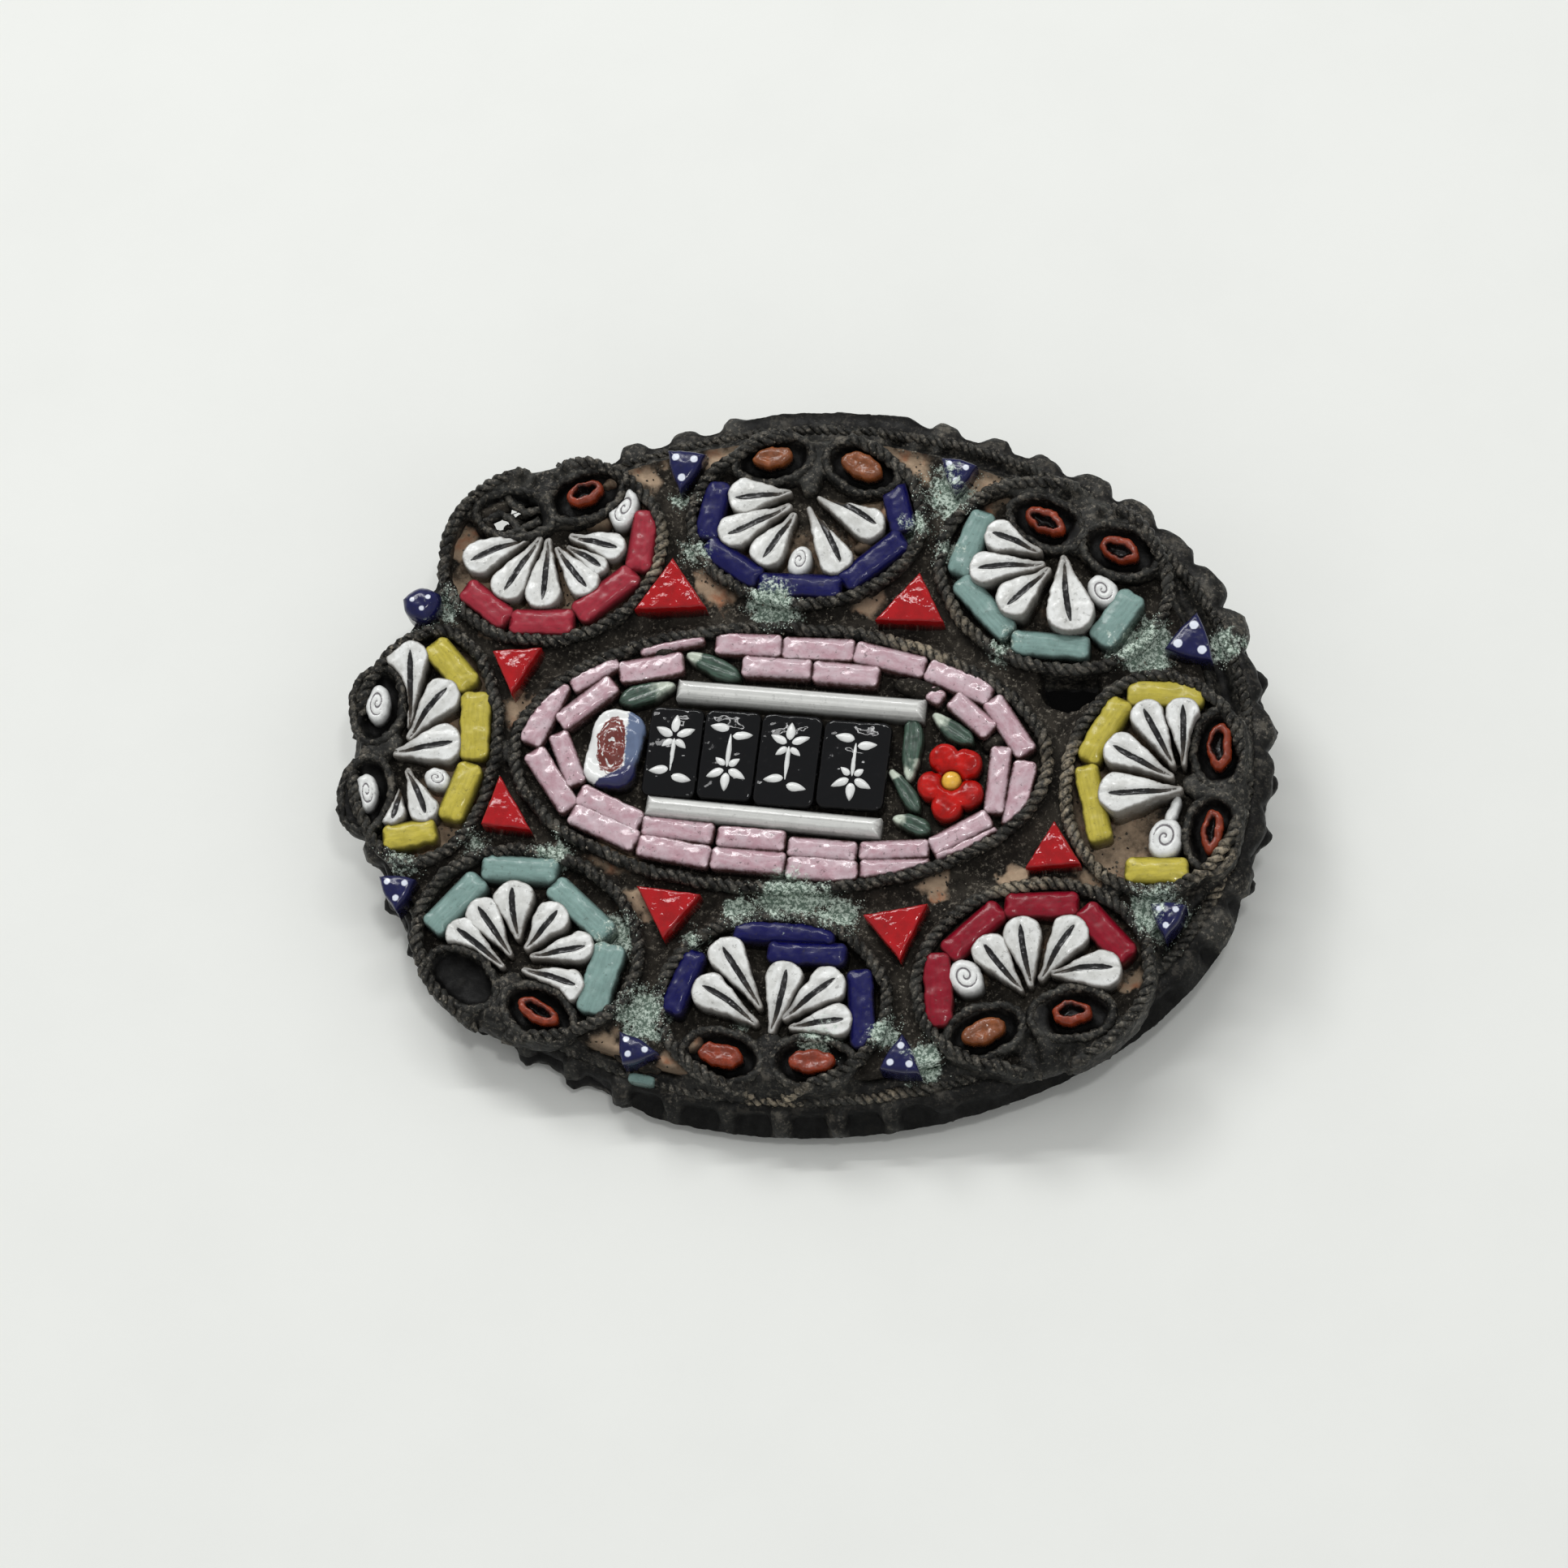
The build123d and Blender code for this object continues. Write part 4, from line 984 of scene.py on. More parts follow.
def metal_material(name="tarnished_brass"):
    """Brass gone nearly black, brown where it is rubbed, with sooty patches, pale dust and bloom in its
    hollows, and painted shade, nearly black, where the mesh is marked as shaded.
    """
    shader = Shader(name)
    tint = colours()
    broad = shader.spots(0.4, 0.64, 1.2, 6, 0.65)
    dark = shader.mix(broad, dimmed(tint.metal, 0.28), tint.metal)
    rubbed = shader.spots(0.44, 0.68, 0.34, 6, 0.7)
    worn = shader.mix(shader.times(rubbed, shader.mark("crest")), dark, tint.worn)
    bright = shader.times(shader.mark("rubbed"), shader.spots(0.38, 0.6, 0.25, 5, 0.7))
    worn = shader.mix(shader.times(bright, 0.75), worn, srgb(188, 174, 150))
    hollow = shader.minus(1.0, shader.mark("crest"))
    crumbs = shader.times(shader.spots(0.54, 0.64, 0.7, 6, 0.7), hollow)
    dusty = shader.times(shader.spots(0.53, 0.64, 0.17, 6, 0.75), 0.45)
    dusty = shader.math("MAXIMUM", dusty, shader.times(crumbs, 0.4))
    worn = shader.mix(dusty, worn, tint.dust)
    soot = shader.spots(0.5, 0.64, 0.9, 6, 0.7, stretch=(1, 1.3, 1))
    worn = shader.mix(shader.times(soot, 0.75), worn, dimmed(tint.metal, 0.14))
    roughness = shader.spots(0.25, 0.9, 0.5, 4, 0.6)
    roughness = shader.plus(shader.times(roughness, 0.4), 0.4)
    # Painted shade: nearly black where the mesh is marked as shaded, in the edge's gaps, on the flange and
    # in the eye cells
    worn = shader.mix(shader.times(shader.mark("recess"), 0.96), worn, srgb(5, 5, 5))
    colour, roughness = with_verdigris(shader, worn, roughness)
    coarse = shader.bump(shader.noise(0.45, 5, 0.6), 0.6, 0.08)
    fine = shader.bump(shader.noise(0.09, 4, 0.7), 0.5, 0.02, coarse)
    return shader.finish(colour, roughness, fine, metallic=0.2, specular_ior_level=0.2)


def cement_material():
    """Tan cement under grime, gritty, cleaner where the mesh is marked as clay, with painted shade along its
    edges and in the hole of the lost triangle.
    """
    shader = Shader("cement")
    tint = colours()
    sandy = shader.mix(shader.noise(0.4, 5, 0.65), dimmed(tint.cement, 0.55), tint.cement)
    rusty = shader.mix(shader.spots(0.52, 0.74, 0.9, 3), sandy, srgb(176, 124, 94))
    spread = shader.plus(shader.mark("clay"), shader.times(shader.noise(0.55, 6, 0.65), 0.8))
    clean = shader.times(shader.step(spread, 0.7, 1.2), 0.9)
    sooty = shader.mix(shader.spots(0.4, 0.62, 1.1, 6, 0.7), dimmed(tint.grime, 0.35), tint.grime)
    dusty = shader.times(shader.spots(0.53, 0.64, 0.2, 6, 0.75), 0.5)
    colour = shader.mix(clean, shader.mix(dusty, sooty, tint.dust), rusty)
    # Painted shade along the cement's edges, where it meets the walls and the glass
    wall_shade = shader.times(shader.step(shader.mark("rim"), 0.4, 0.02), 0.7)
    colour = shader.mix(wall_shade, colour, dimmed(tint.grime, 0.2))
    # Painted shade: the hole that the lost triangle left is painted nearly black
    colour = shader.mix(shader.mark("pit"), colour, srgb(8, 8, 8))
    colour, roughness = with_verdigris(shader, colour, 0.88)
    coarse = shader.bump(shader.noise(0.35, 6, 0.65), 0.7, 0.09)
    fine = shader.bump(shader.noise(0.07, 3, 0.7), 0.6, 0.02, coarse)
    return shader.finish(colour, roughness, fine, specular_ior_level=0.15)


def glass_material(name, base, deep=None, ink=None, ink_edge=0.02, streak=(1, 1, 1), streaks=0.5,
                   dirt=1.0, gloss=0.16, waves=0.25, wave_size=0.5, seam_and_shade=None, grain=0.1, mirror=0.5,
                   foot=0.0, patch=None, clouds=0.3):
    """Opaque glass with faint streaks, a drawn figure if there is ink, grime at its rim and its foot, and
    painted shade low on its sides.
    """
    shader = Shader(name)
    tint = colours()
    deep = dimmed(base, 0.7) if deep is None else deep
    seam_and_shade = dimmed(tint.grime, 0.6) if seam_and_shade is None else seam_and_shade
    drawn_out = shader.noise(0.22, 4, 0.6, shader.own(), streak)
    colour = shader.mix(shader.times(shader.step(drawn_out, 0.35, 0.7), streaks), base, deep)
    cloudy = shader.times(shader.spots(0.42, 0.7, 0.6, 5, 0.65), clouds)
    colour = shader.mix(cloudy, colour, dimmed(deep, 0.8))
    tone = shader.times(shader.minus(shader.mark("tone"), 0.5), 0.35)
    colour = shader.mix(shader.math("MAXIMUM", tone, 0), colour, deep)
    if patch:
        colour = shader.mix(shader.mark("patch"), colour, patch)
    if ink:
        ragged = shader.times(shader.minus(shader.noise(0.12, 3), 0.5), 0.05)
        drawn = shader.step(shader.plus(shader.mark("ink"), ragged), ink_edge, -ink_edge)
        colour = shader.mix(drawn, colour, ink)
    dirty = shader.times(rim_dirt(shader, 0.1, 0.23), dirt)
    if foot:
        stained = shader.plus(shader.along(), shader.times(shader.noise(0.3, 5, 0.7), 0.5))
        stained = shader.times(shader.step(stained, 0.12, -0.3), foot)
        colour = shader.mix(stained, colour, seam_and_shade)
    specks = shader.times(shader.spots(0.58, 0.64, 0.22, 6, 0.75), 0.6 * dirt)
    colour = shader.mix(specks, colour, tint.grime)
    colour = shader.mix(dirty, colour, seam_and_shade)
    # Painted shade: darker low on the piece's sides towards its seat, as strong as the dirt setting
    low = shader.times(shader.step(shader.mark("depth"), 0.7, 0.1), 0.6 * dirt)
    colour = shader.mix(low, colour, seam_and_shade)
    dull = shader.spots(0.35, 0.75, 0.45, 5, 0.6)
    roughness = shader.plus(shader.times(dull, 0.06 + gloss), gloss + 0.04)
    colour, roughness = with_verdigris(shader, colour, roughness, 0.62)
    normal = shader.bump(shader.noise(wave_size, 3, 0.5), waves, 0.06)
    if grain:
        normal = shader.bump(shader.noise(0.07, 2, 0.6), grain, 0.01, normal)
    return shader.finish(
        colour, roughness, normal,
        specular_ior_level=mirror, coat_weight=0.6 * mirror, coat_roughness=0.06,
    )


def marbled_material():
    """White, red-brown and blue glass drawn into a swirl."""
    shader = Shader("swirled_glass")
    tint = colours()
    ragged = shader.times(shader.minus(shader.noise(0.3, 5, 0.65), 0.5), 0.5)
    stripes = shader.step(shader.plus(shader.mark("stripe"), ragged), 0.06, 0.14)
    curl = shader.mix(stripes, tint.petal, tint.swirl_red)
    eye = shader.step(shader.plus(shader.mark("curl"), ragged), 0.04, -0.04)
    colour = shader.mix(eye, tint.petal, curl)
    night = shader.mix(shader.mark("night"), tint.swirl_blue, tint.swirl_navy)
    blue = shader.step(shader.plus(shader.mark("ink"), ragged), 0.05, -0.05)
    colour = shader.mix(blue, colour, night)
    colour = shader.mix(rim_dirt(shader, 0.07, 0.19), colour, tint.grime)
    normal = shader.bump(shader.noise(0.4, 4), 0.35, 0.08)
    return shader.finish(colour, 0.2, normal, coat_weight=0.3, coat_roughness=0.1)


def bead_material():
    """Coral glass round a dark hollow heart, with painted shade low on its sides."""
    shader = Shader("coral_glass")
    tint = colours()
    uneven = shader.times(shader.noise(0.25, 4, 0.6), 0.12)
    heart = shader.step(shader.minus(shader.mark("ink"), uneven), 0.02, -0.1)
    pale = shader.spots(0.4, 0.75, 0.35, 4, 0.6)
    coral = shader.mix(shader.mark("brown"), tint.coral, srgb(150, 84, 44))
    skin = shader.mix(pale, shader.mix(0.45, coral, (0, 0, 0)), coral)
    colour = shader.mix(heart, skin, tint.bead_heart)
    # Painted shade: darker low on the bead's sides towards its seat
    low = shader.step(shader.mark("depth"), 0.7, 0.1)
    colour = shader.mix(low, colour, tint.grime)
    normal = shader.bump(shader.noise(0.2, 5, 0.65), 0.6, 0.05)
    roughness = shader.plus(shader.times(shader.noise(0.3), 0.4), 0.08)
    return shader.finish(
        colour, roughness, normal, specular_ior_level=0.3, coat_weight=0.3, coat_roughness=0.08
    )


def flat_top(rim=0.1, wave=0.015, crown=0.0):
    """A top with a rounded rim, faint waves and a crown in the middle."""
    def top_of(points, distance, form, solid):
        swell = crown * (smooth_step(distance, 0, 0.45 * form.width) - 0.5)
        return solid.top + swell - rounded(distance, rim) + wave * lumps(points, 0.7, form.tone * 50)
    return top_of


def share_along(points, form):
    """Each point's share along its piece, 0 at its foot and 1 at its wider end."""
    return own_place(points, form)[0] / form.length + 0.5


def petal_line(points, form):
    """How far each point is across from the petal's slightly bent middle line."""
    along, across = own_place(points, form)
    share = along / form.length
    bend = (form.tone - 0.5) * 0.3 * form.length * (0.25 - share * share)
    return across - bend


def petal_outline(loop, form):
    """A petal's plan, broad near its tip and drawn out to a narrow foot."""
    along, across = own_place(loop, form)
    foot = smooth_step(-share_along(loop, form), -0.45, 0.0)
    return plan_place(along * 1.05 - 0.13 * form.length * foot, across * (1.22 - 0.5 * foot), form)


def petal_ink(points, distance, form):
    """Below zero inside the petal's dark line, thin at the foot and blunt near the tip."""
    share = share_along(points, form)
    swell = np.clip((share + 0.16) / 0.5, 0, 1) ** 0.6 * np.clip((0.92 - share) / 0.2, 0, 1) ** 0.5
    return np.abs(petal_line(points, form)) - 0.14 * swell + 0.01


def petal_top(points, distance, form, solid):
    """A petal with steep sides and a groove down its middle."""
    share = share_along(points, form)
    groove = smooth_step(-petal_ink(points, distance, form), -0.08, 0.03)
    foot = 0.3 * smooth_step(0.45 - share, 0, 0.45)
    lift = 0.03 * smooth_step(distance, 0, 0.35 * form.width)
    tilt = 0.12 * (form.tone - 0.5) * own_place(points, form)[1] / form.width
    height = solid.top - 0.05 + lift + tilt - rounded(distance, 0.09) - 0.1 * groove - foot
    return height + 0.04 * lumps(points, 0.4, form.tone * 40)


def spiral_ink(points, distance, form):
    """Below zero on the line of a spiral."""
    along, across = own_place(points, form)
    reach = np.hypot(along / form.length, across / form.width) * 2
    turn = np.arctan2(across / form.width, along / form.length) / (2 * math.pi) + form.tone
    phase = (reach * 2.2 - turn) % 1.0
    return np.abs(phase - 0.5) * 0.42 - 0.055 + 0.25 * smooth_step(reach, 0.72, 0.9)


def bud_top(points, distance, form, solid):
    """A domed bud with its spiral sunk in."""
    sunk = smooth_step(-spiral_ink(points, distance, form), -0.06, 0.03)
    return solid.top - rounded(distance, 0.35) - 0.07 * sunk + 0.02 * lumps(points, 0.4, form.tone * 30)


def bead_rim(points, form):
    """How wide a hollow bead's ring is, more on one side than on the other."""
    across = own_place(points, form)[1] / form.width * math.copysign(2, form.tone - 0.5)
    return 0.29 + 0.15 * across + 0.05 * lumps(points, 0.4, form.tone * 50)


def bead_top(hollow):
    """A glass drop, open in the middle where it is hollow."""
    def top_of(points, distance, form, solid):
        sunk = smooth_step(distance - bead_rim(points, form), -0.05, 0.15) * (0.5 if hollow else 0.05)
        return solid.top - rounded(distance, 0.2) - sunk + 0.05 * lumps(points, 0.35, form.tone * 60)
    return top_of


def bead_ink(hollow):
    """Below zero in the dark heart of a hollow bead."""
    def ink_of(points, distance, form):
        return bead_rim(points, form) - distance if hollow else np.full(len(points), 0.2)
    return ink_of


def dots_ink(corners, radius=0.22, share=0.46):
    """Below zero on the three dots of a triangle, each between its middle and a corner."""
    middle = corners.mean(axis=0)
    dots = middle + (corners - middle) * share
    radius = min(radius, 0.3 * np.hypot(*(dots - middle).T).mean())

    def ink_of(points, distance, form):
        reach = np.min([np.hypot(*(points - dot).T) for dot in dots], axis=0)
        return reach - radius
    return ink_of


def worn_outline(share):
    """Draws a triangle's plan towards a round knob by that share."""
    def outline_of(loop, form):
        away = loop - loop.mean(axis=0)
        reach = np.hypot(*away.T)[:, None]
        return loop.mean(axis=0) + away / reach * (share * KNOB_RADIUS + (1 - share) * reach)
    return outline_of


def leaf_outline(loop, form):
    """A leaf's plan, drawn in to a point at both ends."""
    along, across = own_place(loop, form)
    share = np.abs(along / form.length) * 2
    bend = 0.12 * form.width * np.sin(3 * along / form.length + form.tone * 6)
    return plan_place(1.12 * along, across * (1.25 - 0.95 * share ** 2.5) + bend, form)


def leaf_top(points, distance, form, solid):
    """A thin leaf, ridged along its middle."""
    _, across = own_place(points, form)
    vein = 0.06 * np.exp(-(across / 0.07) ** 2)
    return solid.top - rounded(distance, 0.2) - vein + 0.04 * lumps(points, 0.4, form.tone * 20)


def leaf_ink(points, distance, form):
    """Falls towards the pale end of a leaf."""
    along, _ = own_place(points, form)
    return along / form.length + 0.32 + 0.25 * lumps(points, 0.5, form.tone * 9)


def main_corners(loop):
    """The three corners of a triangle's plan."""
    middle = loop.mean(axis=0)
    first = loop[np.argmax(np.hypot(*(loop - middle).T))]
    second = loop[np.argmax(np.hypot(*(loop - first).T))]
    way = second - first
    off = np.abs((loop[:, 0] - first[0]) * way[1] - (loop[:, 1] - first[1]) * way[0])
    return np.array([first, second, loop[np.argmax(off)]])


def dress(nodes, name, material, slot, top_of, ink_of=None, **how):
    """One finished piece that stands for the named nodes, made as add_relief's settings say."""
    batch = Batch()
    draw = np.random.default_rng(sizes().seed + sum(map(ord, name)))
    how.setdefault("spacing", sizes().glass_grain / MM)
    for node in nodes:
        for solid in solids_of(node):
            add_relief(batch, solid, top_of, ink_of, draw.random(), **how)
    return batch.make(name, material, slot, *nodes)


def in_cell(points, cell):
    """Each point's place across a cell and towards its outward side, as shares of the cell's half sizes."""
    x, y = spot(cell.column, cell.row)
    turn = math.radians(cell.outward - 90)
    across = (points[:, 0] - x) * math.cos(turn) + (points[:, 1] - y) * math.sin(turn)
    deep = (points[:, 1] - y) * math.cos(turn) - (points[:, 0] - x) * math.sin(turn)
    return across / cell.half_width, deep / cell.half_depth


def turned(across, deep, degrees, place):
    """The plan of points that are given across and deep in something turned by that much at a place."""
    turn = math.radians(degrees)
    return np.column_stack([
        place[0] + across * math.cos(turn) - deep * math.sin(turn),
        place[1] + across * math.sin(turn) + deep * math.cos(turn),
    ])


def oval_arc(cell, start, end, count):
    """Points along a cell's oval, from angle start to end, where 0 is the outward side."""
    angles = np.linspace(start, end, count)
    across, deep = cell.half_width * np.sin(angles), cell.half_depth * np.cos(angles)
    return turned(across, deep, cell.outward - 90, spot(cell.column, cell.row))


def lump_loop(lump, power):
    """The plan of a small lump, an oval whose corners fill out as the power grows."""
    angles = np.linspace(0, 2 * math.pi, 28, endpoint=False)
    across, deep = np.cos(angles), np.sin(angles)
    fill = (np.abs(across) ** power + np.abs(deep) ** power) ** (-1 / power)
    place = seen_spot(lump.column, lump.row, lump.top)
    return turned(0.5 * lump.length * across * fill, 0.5 * lump.width * deep * fill, lump.turn, place)


def add_lump(batch, lump, top_of, power=2.2, **how):
    """A small lump that lies on the mosaic by itself."""
    add_relief(batch, Solid([lump_loop(lump, power)], lump.seat, lump.top), top_of, **how)


def plate_oval(inset, count=400):
    """Points round the plate's four-arc oval, drawn in by inset."""
    half_length, half_width, end = PLATE_LENGTH / 2, PLATE_WIDTH / 2, PLATE_END_RADIUS
    side = (half_length ** 2 + half_width ** 2 - 2 * half_length * end) / (2 * (half_width - end))
    run, drop = half_length - end, side - half_width
    split = math.atan2(drop, run)
    points = []
    for angle in np.linspace(0, 2 * math.pi, count, endpoint=False):
        right, up = math.cos(angle), math.sin(angle)
        if abs(up) < abs(right) * math.tan(split):
            points.append((math.copysign(run, right) + (end - inset) * right, (end - inset) * up))
        else:
            points.append(((side - inset) * right, (side - inset) * up - math.copysign(drop, up)))
    return np.array(points)


def path_object(name, paths):
    """An object of open and closed lines, each given as points, a height and whether it closes."""
    verts, edges = [], []
    for points, heights, closed in paths:
        start = len(verts)
        verts.extend((x, y, z) for (x, y), z in zip(points, np.broadcast_to(heights, len(points))))
        edges.extend((start + i, start + i + 1) for i in range(len(points) - 1))
        if closed:
            edges.append((len(verts) - 1, start))
    mesh = bpy.data.meshes.new(name)
    mesh.from_pydata(verts, edges, [])
    return placed(name, mesh)


class Tree(Nodes):
    """A Geometry Nodes tree with named inputs."""

    def __init__(self, name, inputs):
        self.tree = bpy.data.node_groups.new(name, "GeometryNodeTree")
        self.tree.interface.new_socket("Geometry", in_out="INPUT", socket_type="NodeSocketGeometry")
        for label, kind, default in inputs:
            socket = self.tree.interface.new_socket(label, in_out="INPUT", socket_type=kind)
            if default is not None:
                socket.default_value = default
        self.tree.interface.new_socket("Geometry", in_out="OUTPUT", socket_type="NodeSocketGeometry")
        self.given = self.tree.nodes.new("NodeGroupInput").outputs
        self.out = self.tree.nodes.new("NodeGroupOutput").inputs[0]

    def vector(self, operation, inputs):
        """What a Vector Math node makes of its inputs."""
        return self.node("ShaderNodeVectorMath", inputs, operation=operation).outputs[0]

    def end(self, geometry):
        """Realizes the instances, sets the material and ends the tree."""
        smooth = self.node("GeometryNodeSetShadeSmooth", {"Geometry": geometry})
        real = self.node("GeometryNodeRealizeInstances", {"Geometry": smooth.outputs[0]})
        coat = self.node("GeometryNodeSetMaterial", {
            "Geometry": real.outputs[0], "Material": self.given["Material"],
        })
        self.tree.links.new(coat.outputs[0], self.out)
        return self.tree


def twisted_wire_tree():
    """Two strands twisted round each line."""
    tree = Tree("twisted_wire", [
        ("Strand radius", "NodeSocketFloat", 0.17),
        ("Twist radius", "NodeSocketFloat", 0.15),
        ("Pitch", "NodeSocketFloat", 0.95),
        ("Step", "NodeSocketFloat", 0.1),
        ("Wobble", "NodeSocketFloat", 0.05),
        ("Material", "NodeSocketMaterial", None),
    ])
    curve = tree.node("GeometryNodeMeshToCurve", {"Mesh": tree.given["Geometry"]}).outputs[0]
    even = tree.node("GeometryNodeResampleCurve", {
        "Curve": curve, "Length": tree.given["Step"],
    }, mode="LENGTH")
    stray = tree.node("ShaderNodeTexNoise", {"Scale": 0.9, "Detail": 2.0})
    centred = tree.vector("SUBTRACT", {0: stray.outputs["Color"], 1: (0.5, 0.5, 0.5)})
    bent = tree.vector("SCALE", {0: centred, "Scale": tree.times(tree.given["Wobble"], 4)})
    line = tree.node("GeometryNodeSetPosition", {"Geometry": even.outputs[0], "Offset": bent}).outputs[0]
    length = tree.node("GeometryNodeSplineLength").outputs["Length"]
    turns = tree.math("ROUND", tree.math("DIVIDE", length, tree.given["Pitch"]))
    share = tree.node("GeometryNodeSplineParameter").outputs["Factor"]
    phase = tree.times(tree.times(share, turns), 2 * math.pi)
    normal = tree.node("GeometryNodeInputNormal").outputs["Normal"]
    tangent = tree.node("GeometryNodeInputTangent").outputs[0]
    side = tree.vector("CROSS_PRODUCT", {0: tangent, 1: normal})
    upright = tree.node("GeometryNodeSetCurveNormal", {"Curve": line}, mode="Z_UP").outputs[0]
    profile = tree.node("GeometryNodeCurvePrimitiveCircle", {
        "Resolution": 6, "Radius": tree.given["Strand radius"],
    })
    joined = tree.node("GeometryNodeJoinGeometry")
    for strand in range(2):
        angle = tree.plus(phase, strand * math.pi)
        ways = []
        for way, wave in ((normal, "COSINE"), (side, "SINE")):
            reach = tree.times(tree.math(wave, angle), tree.given["Twist radius"])
            ways.append(tree.vector("SCALE", {0: way, "Scale": reach}))
        shift = tree.vector("ADD", {0: ways[0], 1: ways[1]})
        moved = tree.node("GeometryNodeSetPosition", {"Geometry": upright, "Offset": shift})
        tube = tree.node("GeometryNodeCurveToMesh", {
            "Curve": moved.outputs[0], "Profile Curve": profile.outputs[0], "Fill Caps": True,
        })
        tree.tree.links.new(tube.outputs[0], joined.inputs[0])
    return tree.end(joined.outputs[0])


def strewn_tree(mark, least, most):
    """Grains strewn on the faces as thickly as they are marked, between two sizes along their own axes."""
    tree = Tree("strewn_" + mark, [
        ("Grain", "NodeSocketFloat", 0.07),
        ("Density", "NodeSocketFloat", 34.0),
        ("Seed", "NodeSocketInt", 7),
        ("Material", "NodeSocketMaterial", None),
    ])
    marked = tree.node("GeometryNodeInputNamedAttribute", {"Name": mark}, data_type="FLOAT").outputs[0]
    clump = tree.node("ShaderNodeTexNoise", {"Scale": 2.1, "Detail": 4.0}).outputs["Fac"]
    patchy = tree.node("ShaderNodeMapRange", {"Value": clump, "From Min": 0.46, "From Max": 0.58}).outputs[0]
    density = tree.times(tree.times(marked, patchy), tree.given["Density"])
    strewn = tree.node("GeometryNodeDistributePointsOnFaces", {
        "Mesh": tree.given["Geometry"], "Density": density, "Seed": tree.given["Seed"],
    })
    grain = tree.node("GeometryNodeMeshUVSphere", {"Segments": 4, "Rings": 2, "Radius": tree.given["Grain"]})
    size, turn = [
        tree.node("FunctionNodeRandomValue", {
            "Min": low, "Max": high, "Seed": tree.given["Seed"],
        }, data_type="FLOAT_VECTOR")
        for low, high in ((least, most), ((0, 0, 0), (6.3, 6.3, 6.3)))
    ]
    grains = tree.node("GeometryNodeInstanceOnPoints", {
        "Points": strewn.outputs["Points"], "Instance": grain.outputs[0],
        "Scale": size.outputs[0], "Rotation": turn.outputs[0],
    })
    return tree.end(grains.outputs[0])


def made_mesh(source, tree, **values):
    """The mesh that a tree makes out of an object, which is then removed."""
    modifier = source.modifiers.new("maker", "NODES")
    modifier.node_group = tree
    for item in tree.interface.items_tree:
        label = item.name.replace(" ", "_").lower()
        if item.item_type == "SOCKET" and item.in_out == "INPUT" and label in values:
            modifier[item.identifier] = values[label]
    evaluated = source.evaluated_get(bpy.context.evaluated_depsgraph_get())
    mesh = bpy.data.meshes.new_from_object(evaluated)
    source.modifiers.remove(modifier)
    bpy.data.objects.remove(source)
    return mesh


def nearest_of(points):
    """A tree that finds the nearest of some points."""
    tree = KDTree(len(points))
    for number, point in enumerate(points):
        tree.insert(point, number)
    tree.balance()
    return tree


def mark_points(mesh, **marks):
    """Gives the points of a mesh their marks."""
    for name, values in marks.items():
        layer = mesh.attributes.get(name) or mesh.attributes.new(name, "FLOAT", "POINT")
        layer.data.foreach_set("value", np.asarray(values, np.float32))


class BROOCH_OT_setting(bpy.types.Operator):
    """Roughens the soldered metal: lumps, worn teeth and filled corners, with painted shade on the flange,
    towards the lower edge and in the eye cells
    """

    bl_idname = "brooch.setting"
    bl_label = "Metal setting"

    def execute(self, context):
        settings = sizes()
        shape = merged("setting")
        mesh = bpy.data.meshes.new("setting_copy")
        shape.to_mesh(mesh)
        shape.free()
        source = placed("setting_copy", mesh)
        remesh = source.modifiers.new("remesh", "REMESH")
        remesh.mode = "VOXEL"
        remesh.voxel_size = settings.metal_grain / MM
        soften = source.modifiers.new("soften", "SMOOTH")
        soften.factor = 0.5
        soften.iterations = 3
        mesh = bpy.data.meshes.new_from_object(source.evaluated_get(context.evaluated_depsgraph_get()))
        bpy.data.objects.remove(source)
        points = coordinates(mesh)
        height = lumps(points, 0.9, 3.1) + 0.7 * lumps(points, 0.4, 8.2, 2)
        points = points + coordinates(mesh, "normal") * height[:, None] * settings.metal_relief / MM
        mesh.vertices.foreach_set("co", points.ravel())
        bloom = bloom_at(points) * smooth_step(points[:, 2], 0.8, 1.6)
        # Painted shade: nearly black on the flange between 0.3 and 1.75 mm high, partly dark towards the
        # lower edge, and in each eye cell above 1 mm
        shade_mask = smooth_step(points[:, 2], 0.3, 0.6) * smooth_step(-points[:, 2], -1.75, -1.5)
        shade_mask = np.maximum(shade_mask, 0.55 * smooth_step(-points[:, 1], 10, 14))
        for eye in EYE_CELLS:
            reach = np.hypot(*in_cell(points, eye))
            shade_mask = np.maximum(shade_mask, smooth_step(-reach, -1.0, -0.8) * (points[:, 2] > 1.0))
        mark_points(mesh, bloom=bloom, crest=0.55 * smooth_step(height, -0.2, 0.7), recess=shade_mask)
        finished("setting_metal", mesh, metal_material(), "tarnished_brass", "setting")
        return {"FINISHED"}


